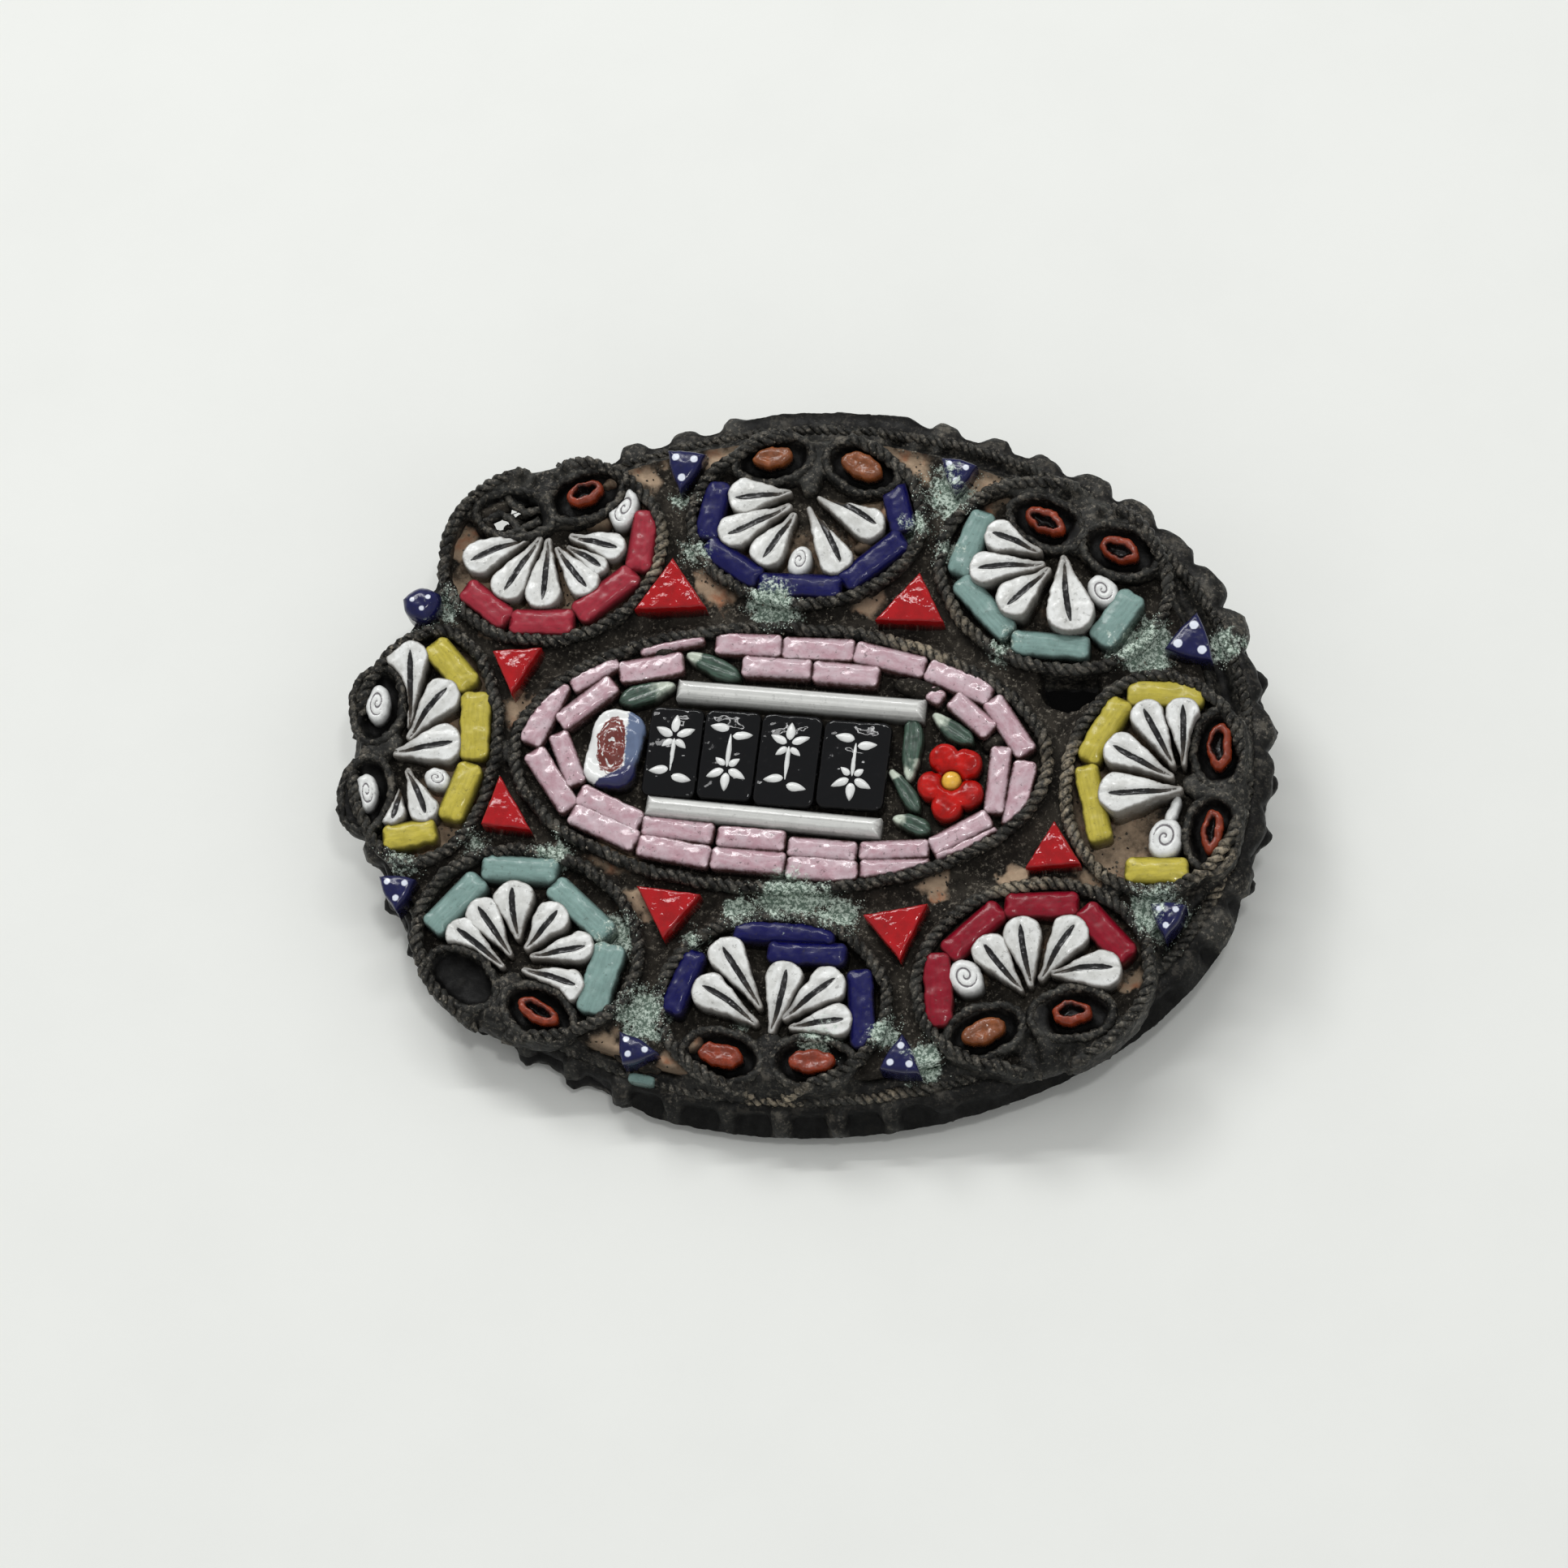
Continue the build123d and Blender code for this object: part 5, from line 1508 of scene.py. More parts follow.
class BROOCH_OT_edge(bpy.types.Operator):
    """Runs a scalloped rim round the plate, with a rounded knob over each of its teeth and painted shade in
    the gaps between them, darker towards the lower edge
    """

    bl_idname = "brooch.edge"
    bl_label = "Scalloped edge"

    def execute(self, context):
        line = plate_oval(0, 1400)
        steps = np.hypot(*(np.roll(line, -1, axis=0) - line).T)
        run = np.concatenate([[0], np.cumsum(steps)[:-1]])
        whole = steps.sum()
        tips = self.tooth_places(line, run)
        gap = np.min([np.abs((run - tip + whole / 2) % whole - whole / 2) for tip in tips], axis=0)
        worn = np.clip(0.8 + 0.5 * lumps(line, 3.0, 7.7), 0.4, 1.05)
        kept = self.kept(line)
        worn = np.minimum(worn, 0.35 + 0.65 * kept)
        left = np.ones(len(line))
        for wear in EDGE_WEAR:
            reach = distance_from(line, spot(wear.column, wear.row))
            left = np.minimum(left, wear.left + smooth_step(reach, 0.6 * wear.radius, wear.radius))
        worn = worn * left
        filled = 0.5 * (1 - left) * kept
        broad = 0.64 + 0.3 * smooth_step(line[:, 0], 7, 14) - 0.2 * smooth_step(-line[:, 1], 8, 12)
        tooth = np.exp(-(gap / broad) ** 4) * worn
        shelf = SHELF_REACH * smooth_step(line[:, 0], -9, -5) * smooth_step(-line[:, 1], 3, 7)
        rings = []
        for ring in EDGE_RINGS:
            reach = ring.out + ring.tooth_out * tooth + ring.filled * filled
            if ring.shelf is not None:
                reach = np.maximum(reach, ring.shelf + shelf)
            plan = line - inward(line) * (reach - 0.5 * (1 - kept))[:, None]
            rings.append(np.column_stack([plan, ring.height + ring.tooth_height * tooth]))
        points = np.concatenate(rings)
        count, around = len(rings), len(line)
        faces = []
        for ring in range(count):
            here, after = ring * around, (ring + 1) % count * around
            for i in range(around):
                j = (i + 1) % around
                faces.append((here + i, here + j, after + j))
                faces.append((here + i, after + j, after + i))
        points = points + 0.05 * np.column_stack([lumps(points, 0.5, seed) for seed in (2.5, 7.5, 12.5)])
        batch = Batch()
        # Painted shade: towards the lower edge the knobs lose their lighter crests and the gaps between the
        # teeth turn dark, most on the lower rings
        lower_edge_shade = smooth_step(-line[:, 1], 6, 13)
        crest = np.tile(smooth_step(tooth, 0.1, 0.7) * (1 - 0.5 * lower_edge_shade), count) * 0.4
        between = np.maximum(1 - smooth_step(tooth, 0.3, 0.8), 0.5 * lower_edge_shade)
        deep = np.concatenate([ring.dark * between for ring in EDGE_RINGS])
        batch.add(points, np.array(faces), bloom=0.8 * bloom_at(points), crest=crest, recess=deep)
        batch.make("scalloped_edge", metal_material("edge_brass"), "tarnished_brass")
        return {"FINISHED"}

    def kept(self, line):
        """1 where the edge is whole, 0 where it is broken away behind the open eye."""
        reach = distance_from(line, spot(*BROKEN_EDGE))
        return smooth_step(reach, BROKEN_EDGE_RADIUS, BROKEN_EDGE_RADIUS + 0.8)

    def tooth_places(self, line, run):
        """How far along the plate's edge each of the solid's teeth stands."""
        tree = nearest_of([(x, y, 0) for x, y in line])
        outward = -inward(line)
        found = []
        for vert in NODES["setting"].data.vertices:
            place = FROM_TABLE @ vert.co
            if place.z > FLANGE_TOP:
                continue
            near, number, _ = tree.find((place.x, place.y, 0))
            if np.array((place - near).xy) @ outward[number] > TOOTH_OUT:
                found.append(run[number])
        found.sort()
        groups = [[found[0]]]
        for place in found[1:]:
            if place - groups[-1][-1] > TOOTH_GAP:
                groups.append([])
            groups[-1].append(place)
        return [(group[0] + group[-1]) / 2 for group in groups]


class BROOCH_OT_wires(bpy.types.Operator):
    """Twists two strands along every cell wall, eye ring and the border"""

    bl_idname = "brooch.wires"
    bl_label = "Twisted wires"

    def execute(self, context):
        settings = sizes()
        material = metal_material("twisted_wire")
        tree = twisted_wire_tree()
        cells = [(oval_arc(PLAQUE, 0, 2 * math.pi, 240)[:-1], WALL_TOP, True)]
        for cell in MEDALLIONS:
            opening = math.asin(CLEFT_HALF_WIDTH / cell.half_width)
            arc = oval_arc(cell, opening, 2 * math.pi - opening, 140)
            from_end = np.minimum(np.hypot(*(arc - arc[0]).T), np.hypot(*(arc - arc[-1]).T))
            cells.append((arc, WALL_TOP - 0.9 * np.exp(-(from_end / 0.7) ** 2), False))
        eyes = [(oval_arc(eye, 0, 2 * math.pi, 60)[:-1], EYE_TOP, True) for eye in EYE_CELLS]
        for wire in OPEN_EYE_WIRES:
            points = [seen_spot(*place, OPEN_EYE_WIRE_HEIGHT) for place in wire]
            eyes.append((points, EYE_TOP - 0.3, False))
        border = [(plate_oval(BORDER_WIRE_INSET), BORDER_WIRE_TOP - 0.1, True)]
        runs = (
            ("cell_wires", cells, 1.0, 0.9),
            ("eye_wires", eyes, 1.0, 0.25),
            ("border_wire", border, 0.85, 0.85),
        )
        for name, paths, scale, twist in runs:
            lines = path_object(name + "_line", paths)
            middle = nearest_of([vert.co for vert in lines.data.vertices])
            mesh = made_mesh(
                lines, tree,
                strand_radius=settings.strand / MM * scale,
                twist_radius=settings.twist / MM * twist,
                pitch=settings.pitch / MM * scale,
                wobble=settings.wobble / MM,
                material=material,
            )
            points = coordinates(mesh)
            away = np.array([middle.find(point)[2] for point in points])
            crest = smooth_step(away, 0.16, 0.3)
            bent = [lumps(points, 0.3, seed) + 0.6 * lumps(points, 0.14, seed) for seed in (1.5, 6.5, 11.5)]
            points = points + 0.065 * np.column_stack(bent)
            mesh.vertices.foreach_set("co", points.ravel())
            rubbed = clay_at(points, RUBBED_SPOTS, RUBBED_HEIGHT) * crest
            bloom = 0.8 * bloom_at(points)
            mark_points(mesh, bloom=bloom, crest=crest, crumb=0.5 - 0.5 * crest, rubbed=rubbed)
            finished(name, mesh, material, "tarnished_brass")
        return {"FINISHED"}


class BROOCH_OT_cement(bpy.types.Operator):
    """Fills the cells and the ground between them with rough cement"""

    bl_idname = "brooch.cement"
    bl_label = "Cement"

    def execute(self, context):
        batch = Batch()
        solids = solids_of("cement_bed")
        ground = max(solids, key=lambda solid: len(solid.loops))
        open_eye = np.array([spot(*OPEN_EYE_CEMENT)])
        for number, solid in enumerate(solids):
            if solid is ground:
                top_of, grow = self.heaped(GROUND_RISE, 0.45), 0.02
            else:
                top_of, grow = self.heaped(0.0, 0.3), 0.02
                if rim_distance(open_eye, solid.loops)[0] < 1.0:
                    grow = 0.4
            add_relief(batch, solid, top_of, tone=number / 10, spacing=0.17, grow=grow, steps=())
        points = np.concatenate(batch.points)
        pit = pit_at(points)
        clay = clay_at(points)
        for cell in MEDALLIONS:
            across, deep = in_cell(points, cell)
            clean = FANS[cell.name].clean * smooth_step(-deep, -0.35, 0.2)
            clay = np.maximum(clay, clean * smooth_step(-np.hypot(across, deep), -1.02, -0.97))
        batch.marks = {name: batch.marks[name] for name in ("bloom", "rim")}
        batch.marks["clay"] = [clay]
        batch.marks["pit"] = [pit]
        batch.marks["crumb"] = [(0.25 + 0.75 * clay) * (1 - pit)]
        material = cement_material()
        batch.make("cement_fill", material, "cement", "cement_bed")
        dirt = Batch()
        for number, lump in enumerate(LUMPS):
            rough = flat_top(0.35 * lump.width, 0.14, 0.1)
            add_lump(dirt, lump, rough, tone=number / 10, spacing=0.09, steps=(0.05, 0.12), ragged=0.12,
                     marks_of=marked("clay", lump.clay))
        dirt.make("cement_lumps", material, "cement")
        return {"FINISHED"}

    def heaped(self, raised, banked):
        """A rough top, raised over its solid and banked up at the walls, with a hole at the lost tile."""
        relief = sizes().cement_relief / MM

        def top_of(points, distance, form, solid):
            bank = raised + banked * np.exp(-distance / 0.5)
            bank -= raised * (PIT_DEPTH / GROUND_RISE + 1) * pit_at(points)
            return solid.top + bank + relief * (lumps(points, 0.8, 5.5) + 0.6 * lumps(points, 0.3, 2.2))
        return top_of


class BROOCH_OT_petals(bpy.types.Operator):
    """Makes the eight fans of white petals, each petal with its dark line"""

    bl_idname = "brooch.petals"
    bl_label = "White petals"

    def execute(self, context):
        tint = colours()
        material = glass_material(
            "petal_glass", tint.petal, srgb(188, 188, 182), tint.ink, streak=(0.6, 0.8, 1), dirt=0.7,
            gloss=0.2, seam_and_shade=srgb(84, 74, 62), mirror=0.3, foot=0.45, clouds=0.4,
        )
        for cell in MEDALLIONS:
            dress(
                ["petals_" + cell.name], "petal_fan_" + cell.name, material, "petal_glass",
                petal_top, petal_ink, grow=0.07, ragged=0.06, outline_of=petal_outline,
            )
        return {"FINISHED"}


class BROOCH_OT_rods(bpy.types.Operator):
    """Makes the arcs of coloured glass rods"""

    bl_idname = "brooch.rods"
    bl_label = "Coloured rods"

    def execute(self, context):
        tint = colours()
        materials = {}
        for cell in MEDALLIONS:
            colour = FANS[cell.name].rods
            if colour not in materials:
                base = getattr(tint, colour)
                materials[colour] = glass_material(
                    colour + "_glass", base, dimmed(base, 0.6), streak=(0.8, 1.5, 1), dirt=0.6,
                    gloss=0.2, mirror=0.22,
                )
            dress(
                ["rods_" + cell.name], "rod_arc_" + cell.name, materials[colour], "rod_glass",
                flat_top(0.13, 0.05, 0.08), spacing=0.1, grow=0.15, ragged=0.06,
            )
        chip = Batch()
        add_lump(chip, CHIP, flat_top(0.08, 0.03), 4, tone=0.3, spacing=0.08)
        chip.make("glass_chip", materials["turquoise_rod"], "rod_glass")
        return {"FINISHED"}


class BROOCH_OT_pink_tiles(bpy.types.Operator):
    """Makes the double row of pink tiles round the plaque"""

    bl_idname = "brooch.pink_tiles"
    bl_label = "Pink tiles"

    def execute(self, context):
        tint = colours()
        # The pale streaks and patches are partly the glass's own streaks and partly painted glare
        material = glass_material(
            "pink_glass", tint.pink, tint.pale_pink, streak=(1.2, 0.7, 1), streaks=0.45, gloss=0.1,
            seam_and_shade=srgb(78, 52, 50), clouds=0.5, waves=0.45,
        )
        for row in ("outer", "inner"):
            dress(
                [f"pink_{row}_row"], f"pink_tiles_{row}", material, "pink_glass",
                flat_top(0.09, 0.05, 0.04), grow=0.12, spacing=0.1, ragged=0.04,
            )
        return {"FINISHED"}


class BROOCH_OT_white_bars(bpy.types.Operator):
    """Makes the two long bars of streaked white glass"""

    bl_idname = "brooch.white_bars"
    bl_label = "White bars"

    def execute(self, context):
        tint = colours()
        material = glass_material(
            "streaked_white_glass", tint.white, dimmed(tint.white, 0.35), streak=(0.05, 2.4, 1),
            dirt=0.4, gloss=0.1, waves=0.1, clouds=0.1,
        )
        for row in ("upper", "lower"):
            top_of = flat_top(0.36, 0.01, 0.05)
            dress([f"white_bar_{row}"], f"glass_bar_{row}", material, "white_glass", top_of)
        return {"FINISHED"}


def sprig_dab(batch, tile, dab, flip, seat):
    """One teardrop of white enamel on a black tile."""
    half_length, half_width = 0.5 * tile.length, 0.5 * tile.width
    narrow = quarter_turn(tile.along)
    foot = tile.centre + narrow * dab.x * half_width * flip + tile.along * dab.y * half_length * flip
    angle = math.radians(dab.turn)
    way = narrow * math.cos(angle) * flip + tile.along * math.sin(angle) * flip
    side = quarter_turn(way)
    shares = np.linspace(0, 1, 14)
    widths = 0.5 * dab.width * np.sin(math.pi * shares ** 0.75) ** 0.8
    one = [foot + way * dab.length * s + side * w for s, w in zip(shares, widths)]
    two = [foot + way * dab.length * s - side * w for s, w in zip(shares[1:-1], widths[1:-1])]
    loop = np.array(one + two[::-1])
    if signed_area(loop) < 0:
        loop = loop[::-1]
    drop = Solid([loop], seat, seat + 0.14)
    add_relief(batch, drop, flat_top(0.1, 0.02, 0.03), tone=0.4, spacing=0.07, steps=(0.04,))


class BROOCH_OT_black_tiles(bpy.types.Operator):
    """Makes the four black tiles, each with a white sprig"""

    bl_idname = "brooch.black_tiles"
    bl_label = "Black tiles"

    def execute(self, context):
        tint = colours()
        material = glass_material(
            "black_glass", tint.black, tint.black, streaks=0.0, dirt=0.12, gloss=0.0, waves=0.7,
            wave_size=1.1, grain=0, mirror=0.2,
        )
        enamel = glass_material("white_enamel", tint.petal, dimmed(tint.petal, 0.8), dirt=0.1, gloss=0.15)
        sprigs = Batch()
        for number in range(1, 5):
            node = f"black_tile_{number}"
            top_of = flat_top(0.12, 0.045, 0.08)
            dress([node], f"dark_tile_{number}", material, "black_glass", top_of, grow=0.08)
            solid = solids_of(node)[0]
            tile = form_of(solid, 0.5)
            upright = tile._replace(along=tile.along if tile.along[1] > 0 else -tile.along)
            for dab in SPRIG:
                sprig_dab(sprigs, upright, dab, 1 if number % 2 else -1, solid.top - 0.06)
        sprigs.make("white_sprigs", enamel, "white_glass")
        return {"FINISHED"}


class BROOCH_OT_flowers(bpy.types.Operator):
    """Makes the red flower with its heart, and the swirled flower"""

    bl_idname = "brooch.flowers"
    bl_label = "Flowers"

    def execute(self, context):
        tint = colours()
        red = glass_material(
            "orange_glass", tint.flower, tint.flower_deep, tint.flower_deep, 0.05, streaks=0.6, dirt=0.5,
            gloss=0.15, mirror=0.2,
        )
        heart = glass_material("yellow_glass", tint.flower_heart, dimmed(tint.flower_heart, 0.7), dirt=0.5)
        centre = np.array(FLOWER_HEART.xy)
        outline = solids_of("red_flower")[0].loops[0]
        reach = distance_from(outline, centre)
        notches = outline[reach < reach.min() + 0.03] - centre
        creases = []
        for angle in sorted(np.arctan2(notches[:, 1], notches[:, 0])):
            if not creases or angle - creases[-1] > 0.4:
                creases.append(angle)

        def crease(points):
            away = points - centre
            bearing = np.arctan2(away[:, 1], away[:, 0])
            turns = [(bearing - angle + math.pi) % (2 * math.pi) - math.pi for angle in creases]
            return np.min(np.abs(turns), axis=0) * np.maximum(distance_from(points, centre), 0.2)

        def flower_top(points, distance, form, solid):
            fold = 0.28 * np.exp(-crease(points) / 0.16)
            return solid.top + 0.1 - rounded(distance, 0.3) - fold + 0.05 * lumps(points, 0.45)

        def flower_ink(points, distance, form):
            return crease(points) - 0.07

        dress(
            ["red_flower"], "flower_red", red, "orange_glass", flower_top, flower_ink, grow=0.05, ragged=0.03
        )
        dress(["flower_centre"], "flower_heart", heart, "yellow_glass", flat_top(0.2, 0.03, 0.06))

        def swirl_top(points, distance, form, solid):
            along, across = own_place(points, form)
            ridge = 0.1 * np.sin(5.5 * np.hypot(along, across) + np.arctan2(across, along))
            return solid.top - rounded(distance, 0.3) + ridge + 0.05 * lumps(points, 0.5)

        def swirl_ink(points, distance, form):
            x, y = (points - form.centre).T
            return np.minimum(0.5 - x, y + 1.15 - 0.7 * x)

        def swirl_marks(points, form):
            x, y = (points - form.centre).T
            x, y = x + 0.1 + 0.1 * lumps(points, 0.5), y - 0.1 + 0.1 * lumps(points, 0.5, 6.0)
            reach = np.hypot(x / 0.62, y / 1.3)
            turn = np.arctan2(y / 1.3, x / 0.62) / (2 * math.pi)
            stripe = np.abs((reach * 3.4 - turn) % 1.0 - 0.5)
            return {"stripe": stripe, "curl": reach - 1, "night": smooth_step(-y, 0.3, 1.2)}

        dress(
            ["swirl_flower"], "flower_swirl", marbled_material(), "marbled_glass", swirl_top, swirl_ink,
            grow=0.05, ragged=0.05, marks_of=swirl_marks,
        )
        return {"FINISHED"}


class BROOCH_OT_leaves(bpy.types.Operator):
    """Makes the plaque's green leaves"""

    bl_idname = "brooch.leaves"
    bl_label = "Leaves"

    def execute(self, context):
        tint = colours()
        material = glass_material(
            "leaf_glass", tint.leaf, dimmed(tint.leaf, 0.25), tint.leaf_pale, 0.12, streak=(0.7, 2.5, 1),
            streaks=0.9, dirt=0.6, gloss=0.25, patch=srgb(196, 182, 122),
        )

        def yellow_end(points, form):
            place = np.hypot(*(form.centre - spot(*YELLOW_LEAF)))
            along, _ = own_place(points, form)
            right = along * math.copysign(1, form.along[0])
            return {"patch": smooth_step(right, -0.15, 0.15) * (place < 1.0)}

        dress(
            ["leaves"], "leaf_sprigs", material, "green_glass", leaf_top, leaf_ink,
            grow=0.12, ragged=0.05, marks_of=yellow_end, outline_of=leaf_outline,
        )
        return {"FINISHED"}


class BROOCH_OT_triangles(bpy.types.Operator):
    """Makes the red triangles and the blue ones with their dots"""

    bl_idname = "brooch.triangles"
    bl_label = "Triangles"

    def execute(self, context):
        tint = colours()
        red = glass_material(
            "red_triangle_glass", tint.triangle, dimmed(tint.triangle, 0.55), dirt=0.2, gloss=0.0,
            waves=0.9, wave_size=0.4, grain=0, mirror=0.36,
        )
        blue = glass_material(
            "blue_triangle_glass", tint.blue_triangle, dimmed(tint.blue_triangle, 0.5), tint.dot, 0.03,
            dirt=0.35, gloss=0.12, mirror=0.3,
        )
        for number in range(1, 8):
            dress(
                [f"red_triangle_{number}"], f"red_chip_{number}", red, "red_glass",
                flat_top(0.11, 0.05, 0.05), ragged=0.03,
            )
        for number in range(1, 9):
            node = f"blue_triangle_{number}"
            corners = main_corners(solids_of(node)[0].loops[0])
            knob = np.hypot(*(corners.mean(axis=0) - spot(*KNOB_PLACE))) < 1.0
            dress(
                [node], f"dotted_chip_{number}", blue, "blue_glass",
                flat_top(0.45 if knob else 0.2, 0.03, 0.08), dots_ink(corners),
                spacing=0.07, ragged=0.03, outline_of=worn_outline(0.75 if knob else 0.22),
            )
        return {"FINISHED"}


class BROOCH_OT_beads(bpy.types.Operator):
    """Makes the eye beads, most of them hollow rings of coral glass"""

    bl_idname = "brooch.beads"
    bl_label = "Eye beads"

    def execute(self, context):
        material = bead_material()
        for number in range(1, 13):
            hollow = number not in FILLED_BEADS
            dress(
                [f"bead_{number}"], f"eye_bead_{number}", material, "coral_glass", bead_top(hollow),
                bead_ink(hollow), grow=0.04, spacing=0.07, ragged=0.1,
                marks_of=marked("brown", number in BROWN_BEADS),
            )
        return {"FINISHED"}


class BROOCH_OT_buds(bpy.types.Operator):
    """Makes the small white buds with their spirals"""

    bl_idname = "brooch.buds"
    bl_label = "Spiral buds"

    def execute(self, context):
        tint = colours()
        material = glass_material(
            "bud_glass", tint.petal, dimmed(tint.petal, 0.8), srgb(104, 100, 104), dirt=0.4, gloss=0.22
        )
        dress(
            ["spiral_buds"], "bud_spirals", material, "bud_glass", bud_top, spiral_ink,
            grow=0.08, spacing=0.06, ragged=0.06,
        )
        stem = Batch()
        add_lump(stem, BUD_STEM, flat_top(0.2, 0.05), tone=0.3, spacing=0.07, steps=(0.05,), ragged=0.08)
        stem.make("bud_stem", material, "bud_glass")
        return {"FINISHED"}


def faces_to_strew(names, mark, least):
    """A copy of the upward faces of some pieces where they are marked, in the brooch's own millimetres."""
    ground = bmesh.new()
    for name in names:
        ground.from_mesh(bpy.data.objects[name].data)
    layer = ground.verts.layers.float[mark]
    bare = [f for f in ground.faces if f.normal.z < 0.1 or sum(v[layer] for v in f.verts) < 3 * least]
    bmesh.ops.delete(ground, geom=bare, context="FACES")
    mesh = bpy.data.meshes.new("strewn_faces")
    ground.to_mesh(mesh)
    ground.free()
    mesh.transform(FROM_TABLE)
    return placed("strewn_faces", mesh)


def strew(name, slot, names, mark, least, small, large, one, two, patches, **settings):
    """Strews grains of two colours over some pieces where they are marked, and makes them one piece."""
    source = faces_to_strew(names, mark, least)
    shader = Shader(name)
    colour = shader.mix(shader.spots(*patches), one, two)
    material = shader.finish(colour, 0.95, specular_ior_level=0.1)
    grains = made_mesh(source, strewn_tree(mark, small, large), material=material, **settings)
    finished(name, grains, material, slot)


class BROOCH_OT_crumbs(bpy.types.Operator):
    """Strews crumbs of cement over the cement and in the grooves of the wires"""

    bl_idname = "brooch.crumbs"
    bl_label = "Cement crumbs"

    def execute(self, context):
        settings = sizes()
        tint = colours()
        strew(
            "cement_crumbs", "cement", ["cement_fill", "cell_wires"], "crumb", least=0.1,
            small=(0.6, 0.6, 0.5), large=(1.6, 1.6, 1.3),
            one=dimmed(tint.dust, 0.12), two=dimmed(tint.dust, 0.8), patches=(0.42, 0.6, 0.9, 4, 0.6),
            grain=settings.crumb / MM, density=settings.crumb_density, seed=settings.seed + 1,
        )
        return {"FINISHED"}


class BROOCH_OT_verdigris(bpy.types.Operator):
    """Strews grains of verdigris where the metal and the cement have bloomed"""

    bl_idname = "brooch.verdigris"
    bl_label = "Verdigris crust"

    def execute(self, context):
        settings = sizes()
        tint = colours()
        strew(
            "verdigris_crust", "tarnished_brass", ["setting_metal", "cement_fill", "cell_wires"], "bloom",
            least=0.2, small=(0.6, 0.4, 0.3), large=(1.9, 1.1, 0.9),
            one=tint.verdigris, two=tint.bloom_tip, patches=(0.34, 0.54, 0.7, 6, 0.7),
            grain=settings.crust_grain / MM, density=settings.crust_density, seed=settings.seed,
        )
        return {"FINISHED"}


class BROOCH_OT_pin(bpy.types.Operator):
    """Gives the pin, its hinge and its catch their worn brass"""

    bl_idname = "brooch.pin"
    bl_label = "Pin and catch"

    def execute(self, context):
        shader = Shader("pin_brass")
        tint = colours()
        spread = shader.spots(0.35, 0.7, 0.9, 5, 0.6)
        colour = shader.mix(spread, dimmed(tint.pin, 0.35), tint.pin)
        normal = shader.bump(shader.noise(0.2, 4, 0.6), 0.4, 0.03)
        material = shader.finish(colour, 0.42, normal, metallic=0.8)
        pin = NODES["pin_and_catch"]
        pin.data.materials.clear()
        pin.data.materials.append(material)
        return {"FINISHED"}


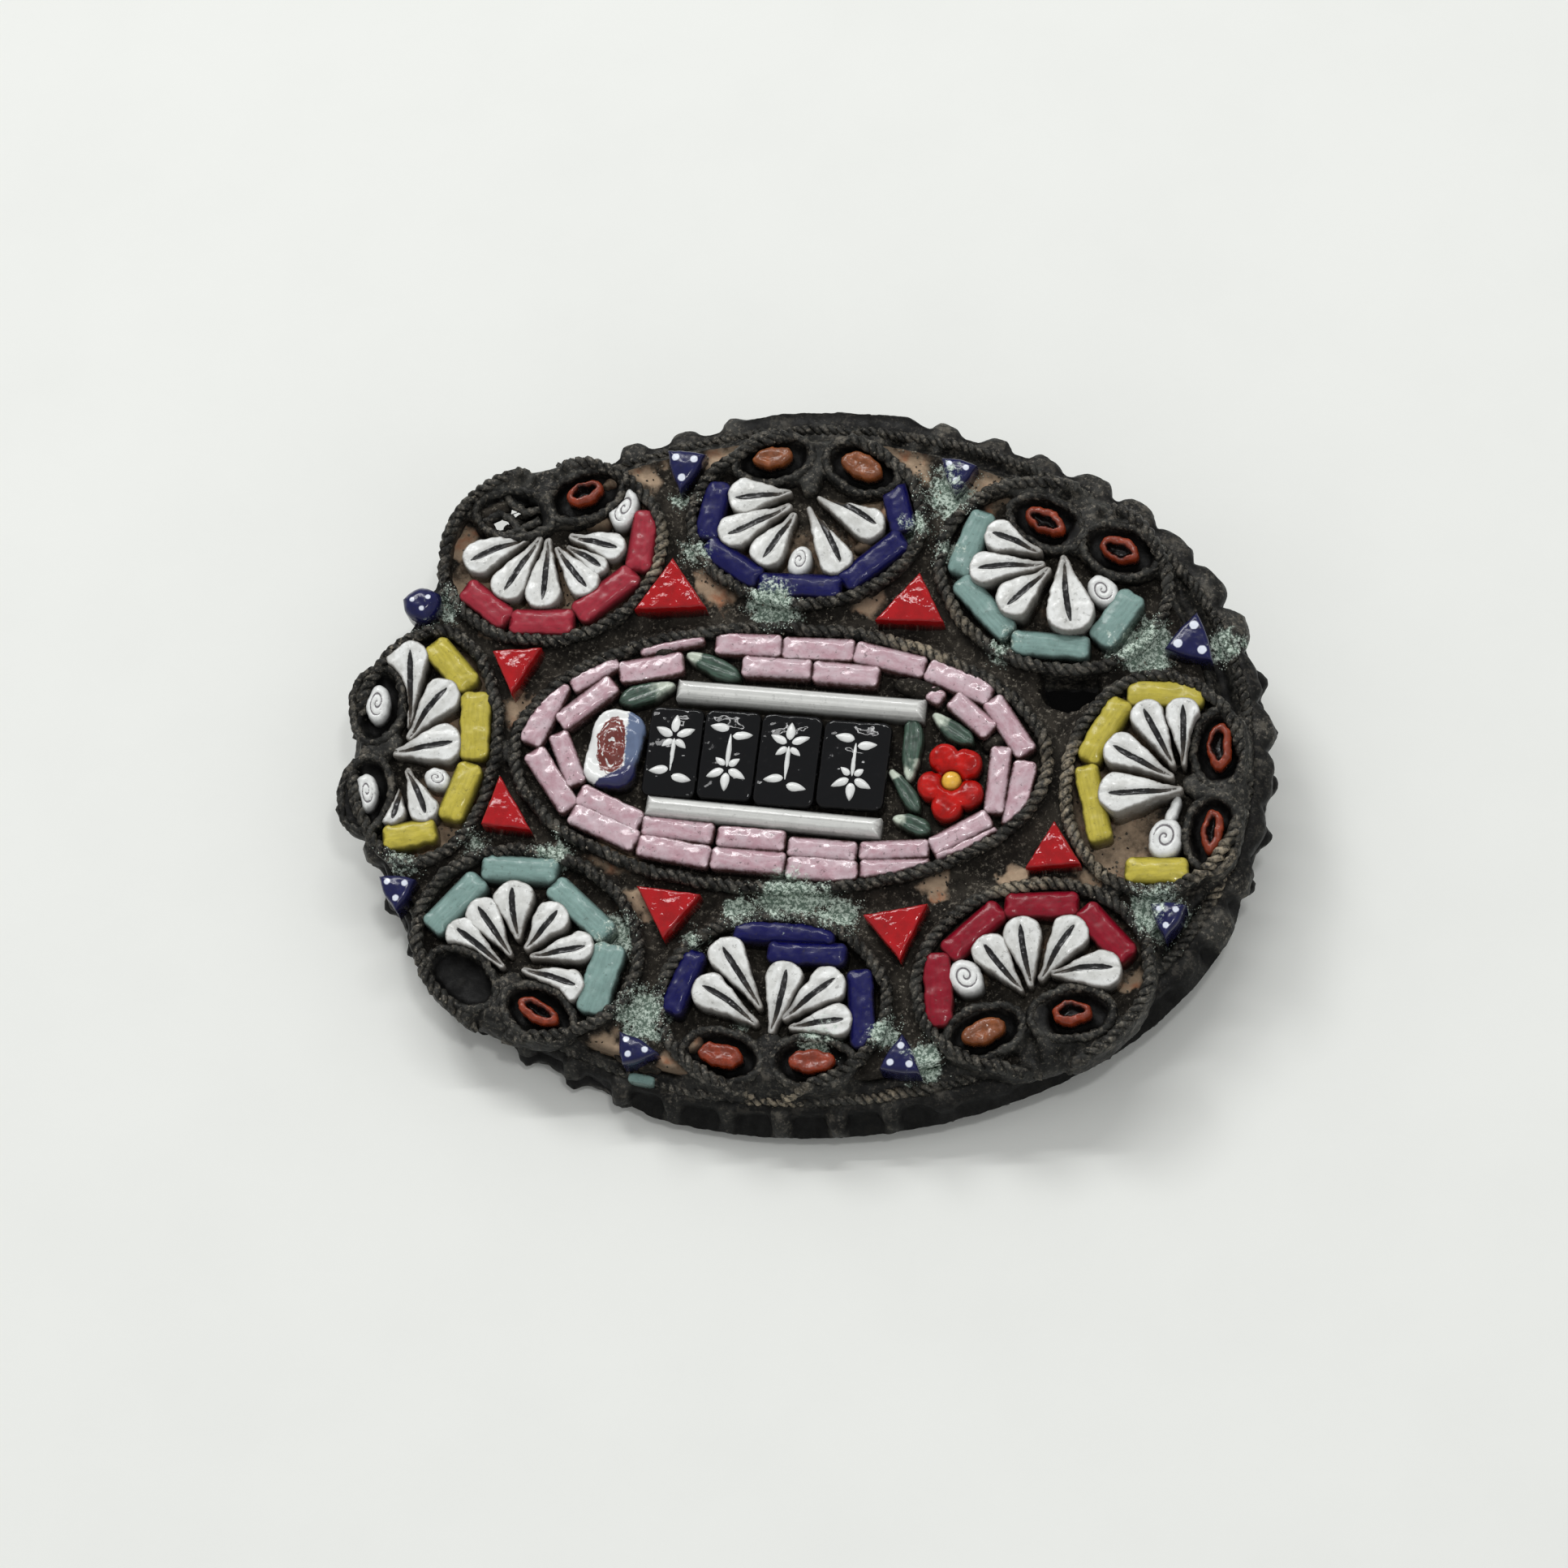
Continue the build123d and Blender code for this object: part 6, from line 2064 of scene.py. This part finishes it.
class BROOCH_OT_stage(bpy.types.Operator):
    """Sets the pale table, the soft light and the camera"""

    bl_idname = "brooch.stage"
    bl_label = "Table, light and camera"

    def execute(self, context):
        stage = context.scene.brooch_stage
        self.table()
        self.camera(context, stage)
        self.lights(context, stage)
        return {"FINISHED"}

    def table(self):
        """A wide pale top just under the brooch."""
        half = TABLE_HALF_WIDTH
        mesh = bpy.data.meshes.new("table_top")
        corners = [(-half, -half, 0), (half, -half, 0), (half, half, 0), (-half, half, 0)]
        mesh.from_pydata(corners, [], [(0, 1, 2, 3)])
        shader = Shader("table_top")
        tint = colours()
        faint = shader.spots(0.3, 0.8, 9.0, 5, 0.6)
        colour = shader.mix(shader.times(faint, 0.35), tint.floor, dimmed(tint.floor, 0.93))
        normal = shader.bump(shader.noise(0.5, 5, 0.6), 0.25, 0.03)
        mesh.materials.append(shader.finish(colour, 0.75, normal))
        placed("table_top", mesh)

    def camera(self, context, stage):
        """The photograph's view, worked out from how the mosaic leans in it."""
        normal = Vector((-math.sin(math.radians(LEAN_LEFT)), math.sin(math.radians(LEAN_UP)), 0))
        normal.z = math.sqrt(1 - normal.length_squared)
        flat = Vector((1, -math.tan(math.radians(TURN_RIGHT)), 0))
        flat.z = -(flat.x * normal.x + flat.y * normal.y) / normal.z
        flat.normalize()
        upward = normal.cross(flat)
        right = Vector((flat.x, upward.x, normal.x))
        up = Vector((flat.y, upward.y, normal.y))
        back = Vector((flat.z, upward.z, normal.z))
        target = Vector((*spot(0, 0), FRAME_HEIGHT)) + right * FRAME_RIGHT + up * FRAME_UP
        place = target + back * stage.distance / MM
        turned = TO_TABLE.to_3x3().normalized() @ Matrix((right, up, back)).transposed()
        data = bpy.data.cameras.new("camera")
        data.sensor_width = SENSOR_WIDTH
        data.lens = SENSOR_WIDTH * stage.distance / stage.frame_width
        data.clip_start, data.clip_end = 0.01, 5
        camera = placed("camera", data)
        camera.matrix_world = Matrix.Translation(TO_TABLE @ place) @ turned.to_4x4()
        context.scene.camera = camera

    def lights(self, context, stage):
        """A large soft light above and behind, a weak one in front, and an even sky."""
        for lamp in LAMPS:
            data = bpy.data.lights.new(lamp.name, "AREA")
            data.shape = "RECTANGLE"
            data.size, data.size_y = lamp.size
            data.energy = getattr(stage, lamp.power) * lamp.share
            light = placed(lamp.name, data)
            light.location = lamp.place
            light.rotation_euler = (-Vector(lamp.place)).to_track_quat("-Z", "Y").to_euler()
        world = bpy.data.worlds.new("soft_sky")
        world.use_nodes = True
        sky = world.node_tree.nodes["Background"]
        sky.inputs["Color"].default_value = (1, 1, 1, 1)
        sky.inputs["Strength"].default_value = stage.sky_strength
        context.scene.world = world
        context.scene.view_settings.view_transform = "Standard"


OPERATORS = (
    BROOCH_OT_setting,
    BROOCH_OT_edge,
    BROOCH_OT_wires,
    BROOCH_OT_cement,
    BROOCH_OT_petals,
    BROOCH_OT_rods,
    BROOCH_OT_pink_tiles,
    BROOCH_OT_white_bars,
    BROOCH_OT_black_tiles,
    BROOCH_OT_flowers,
    BROOCH_OT_leaves,
    BROOCH_OT_triangles,
    BROOCH_OT_beads,
    BROOCH_OT_buds,
    BROOCH_OT_crumbs,
    BROOCH_OT_verdigris,
    BROOCH_OT_pin,
    BROOCH_OT_stage,
)


class BROOCH_PT_panel(bpy.types.Panel):
    """The brooch's pieces, sizes and colours in the sidebar"""

    bl_idname = "BROOCH_PT_panel"
    bl_label = "Brooch"
    bl_space_type = "VIEW_3D"
    bl_region_type = "UI"
    bl_category = "Brooch"

    def draw(self, context):
        for operator in OPERATORS:
            self.layout.operator(operator.bl_idname)
        for group in (context.scene.brooch_sizes, context.scene.brooch_colours, context.scene.brooch_stage):
            box = self.layout.box()
            for name in group.__annotations__:
                box.prop(group, name)


CLASSES = (BroochSizes, BroochColours, BroochStage, *OPERATORS, BROOCH_PT_panel)


def register():
    """Adds the classes and the settings to Blender."""
    for kind in CLASSES:
        bpy.utils.register_class(kind)
    bpy.types.Scene.brooch_sizes = PointerProperty(type=BroochSizes)
    bpy.types.Scene.brooch_colours = PointerProperty(type=BroochColours)
    bpy.types.Scene.brooch_stage = PointerProperty(type=BroochStage)


def unregister():
    """Takes the settings and the classes out of Blender."""
    del bpy.types.Scene.brooch_stage
    del bpy.types.Scene.brooch_colours
    del bpy.types.Scene.brooch_sizes
    for kind in reversed(CLASSES):
        bpy.utils.unregister_class(kind)


def main():
    """Registers the add-on and makes every piece in order."""
    register()
    for operator in OPERATORS:
        group, name = operator.bl_idname.split(".")
        getattr(getattr(bpy.ops, group), name)()


if __name__ == "__main__":
    main()
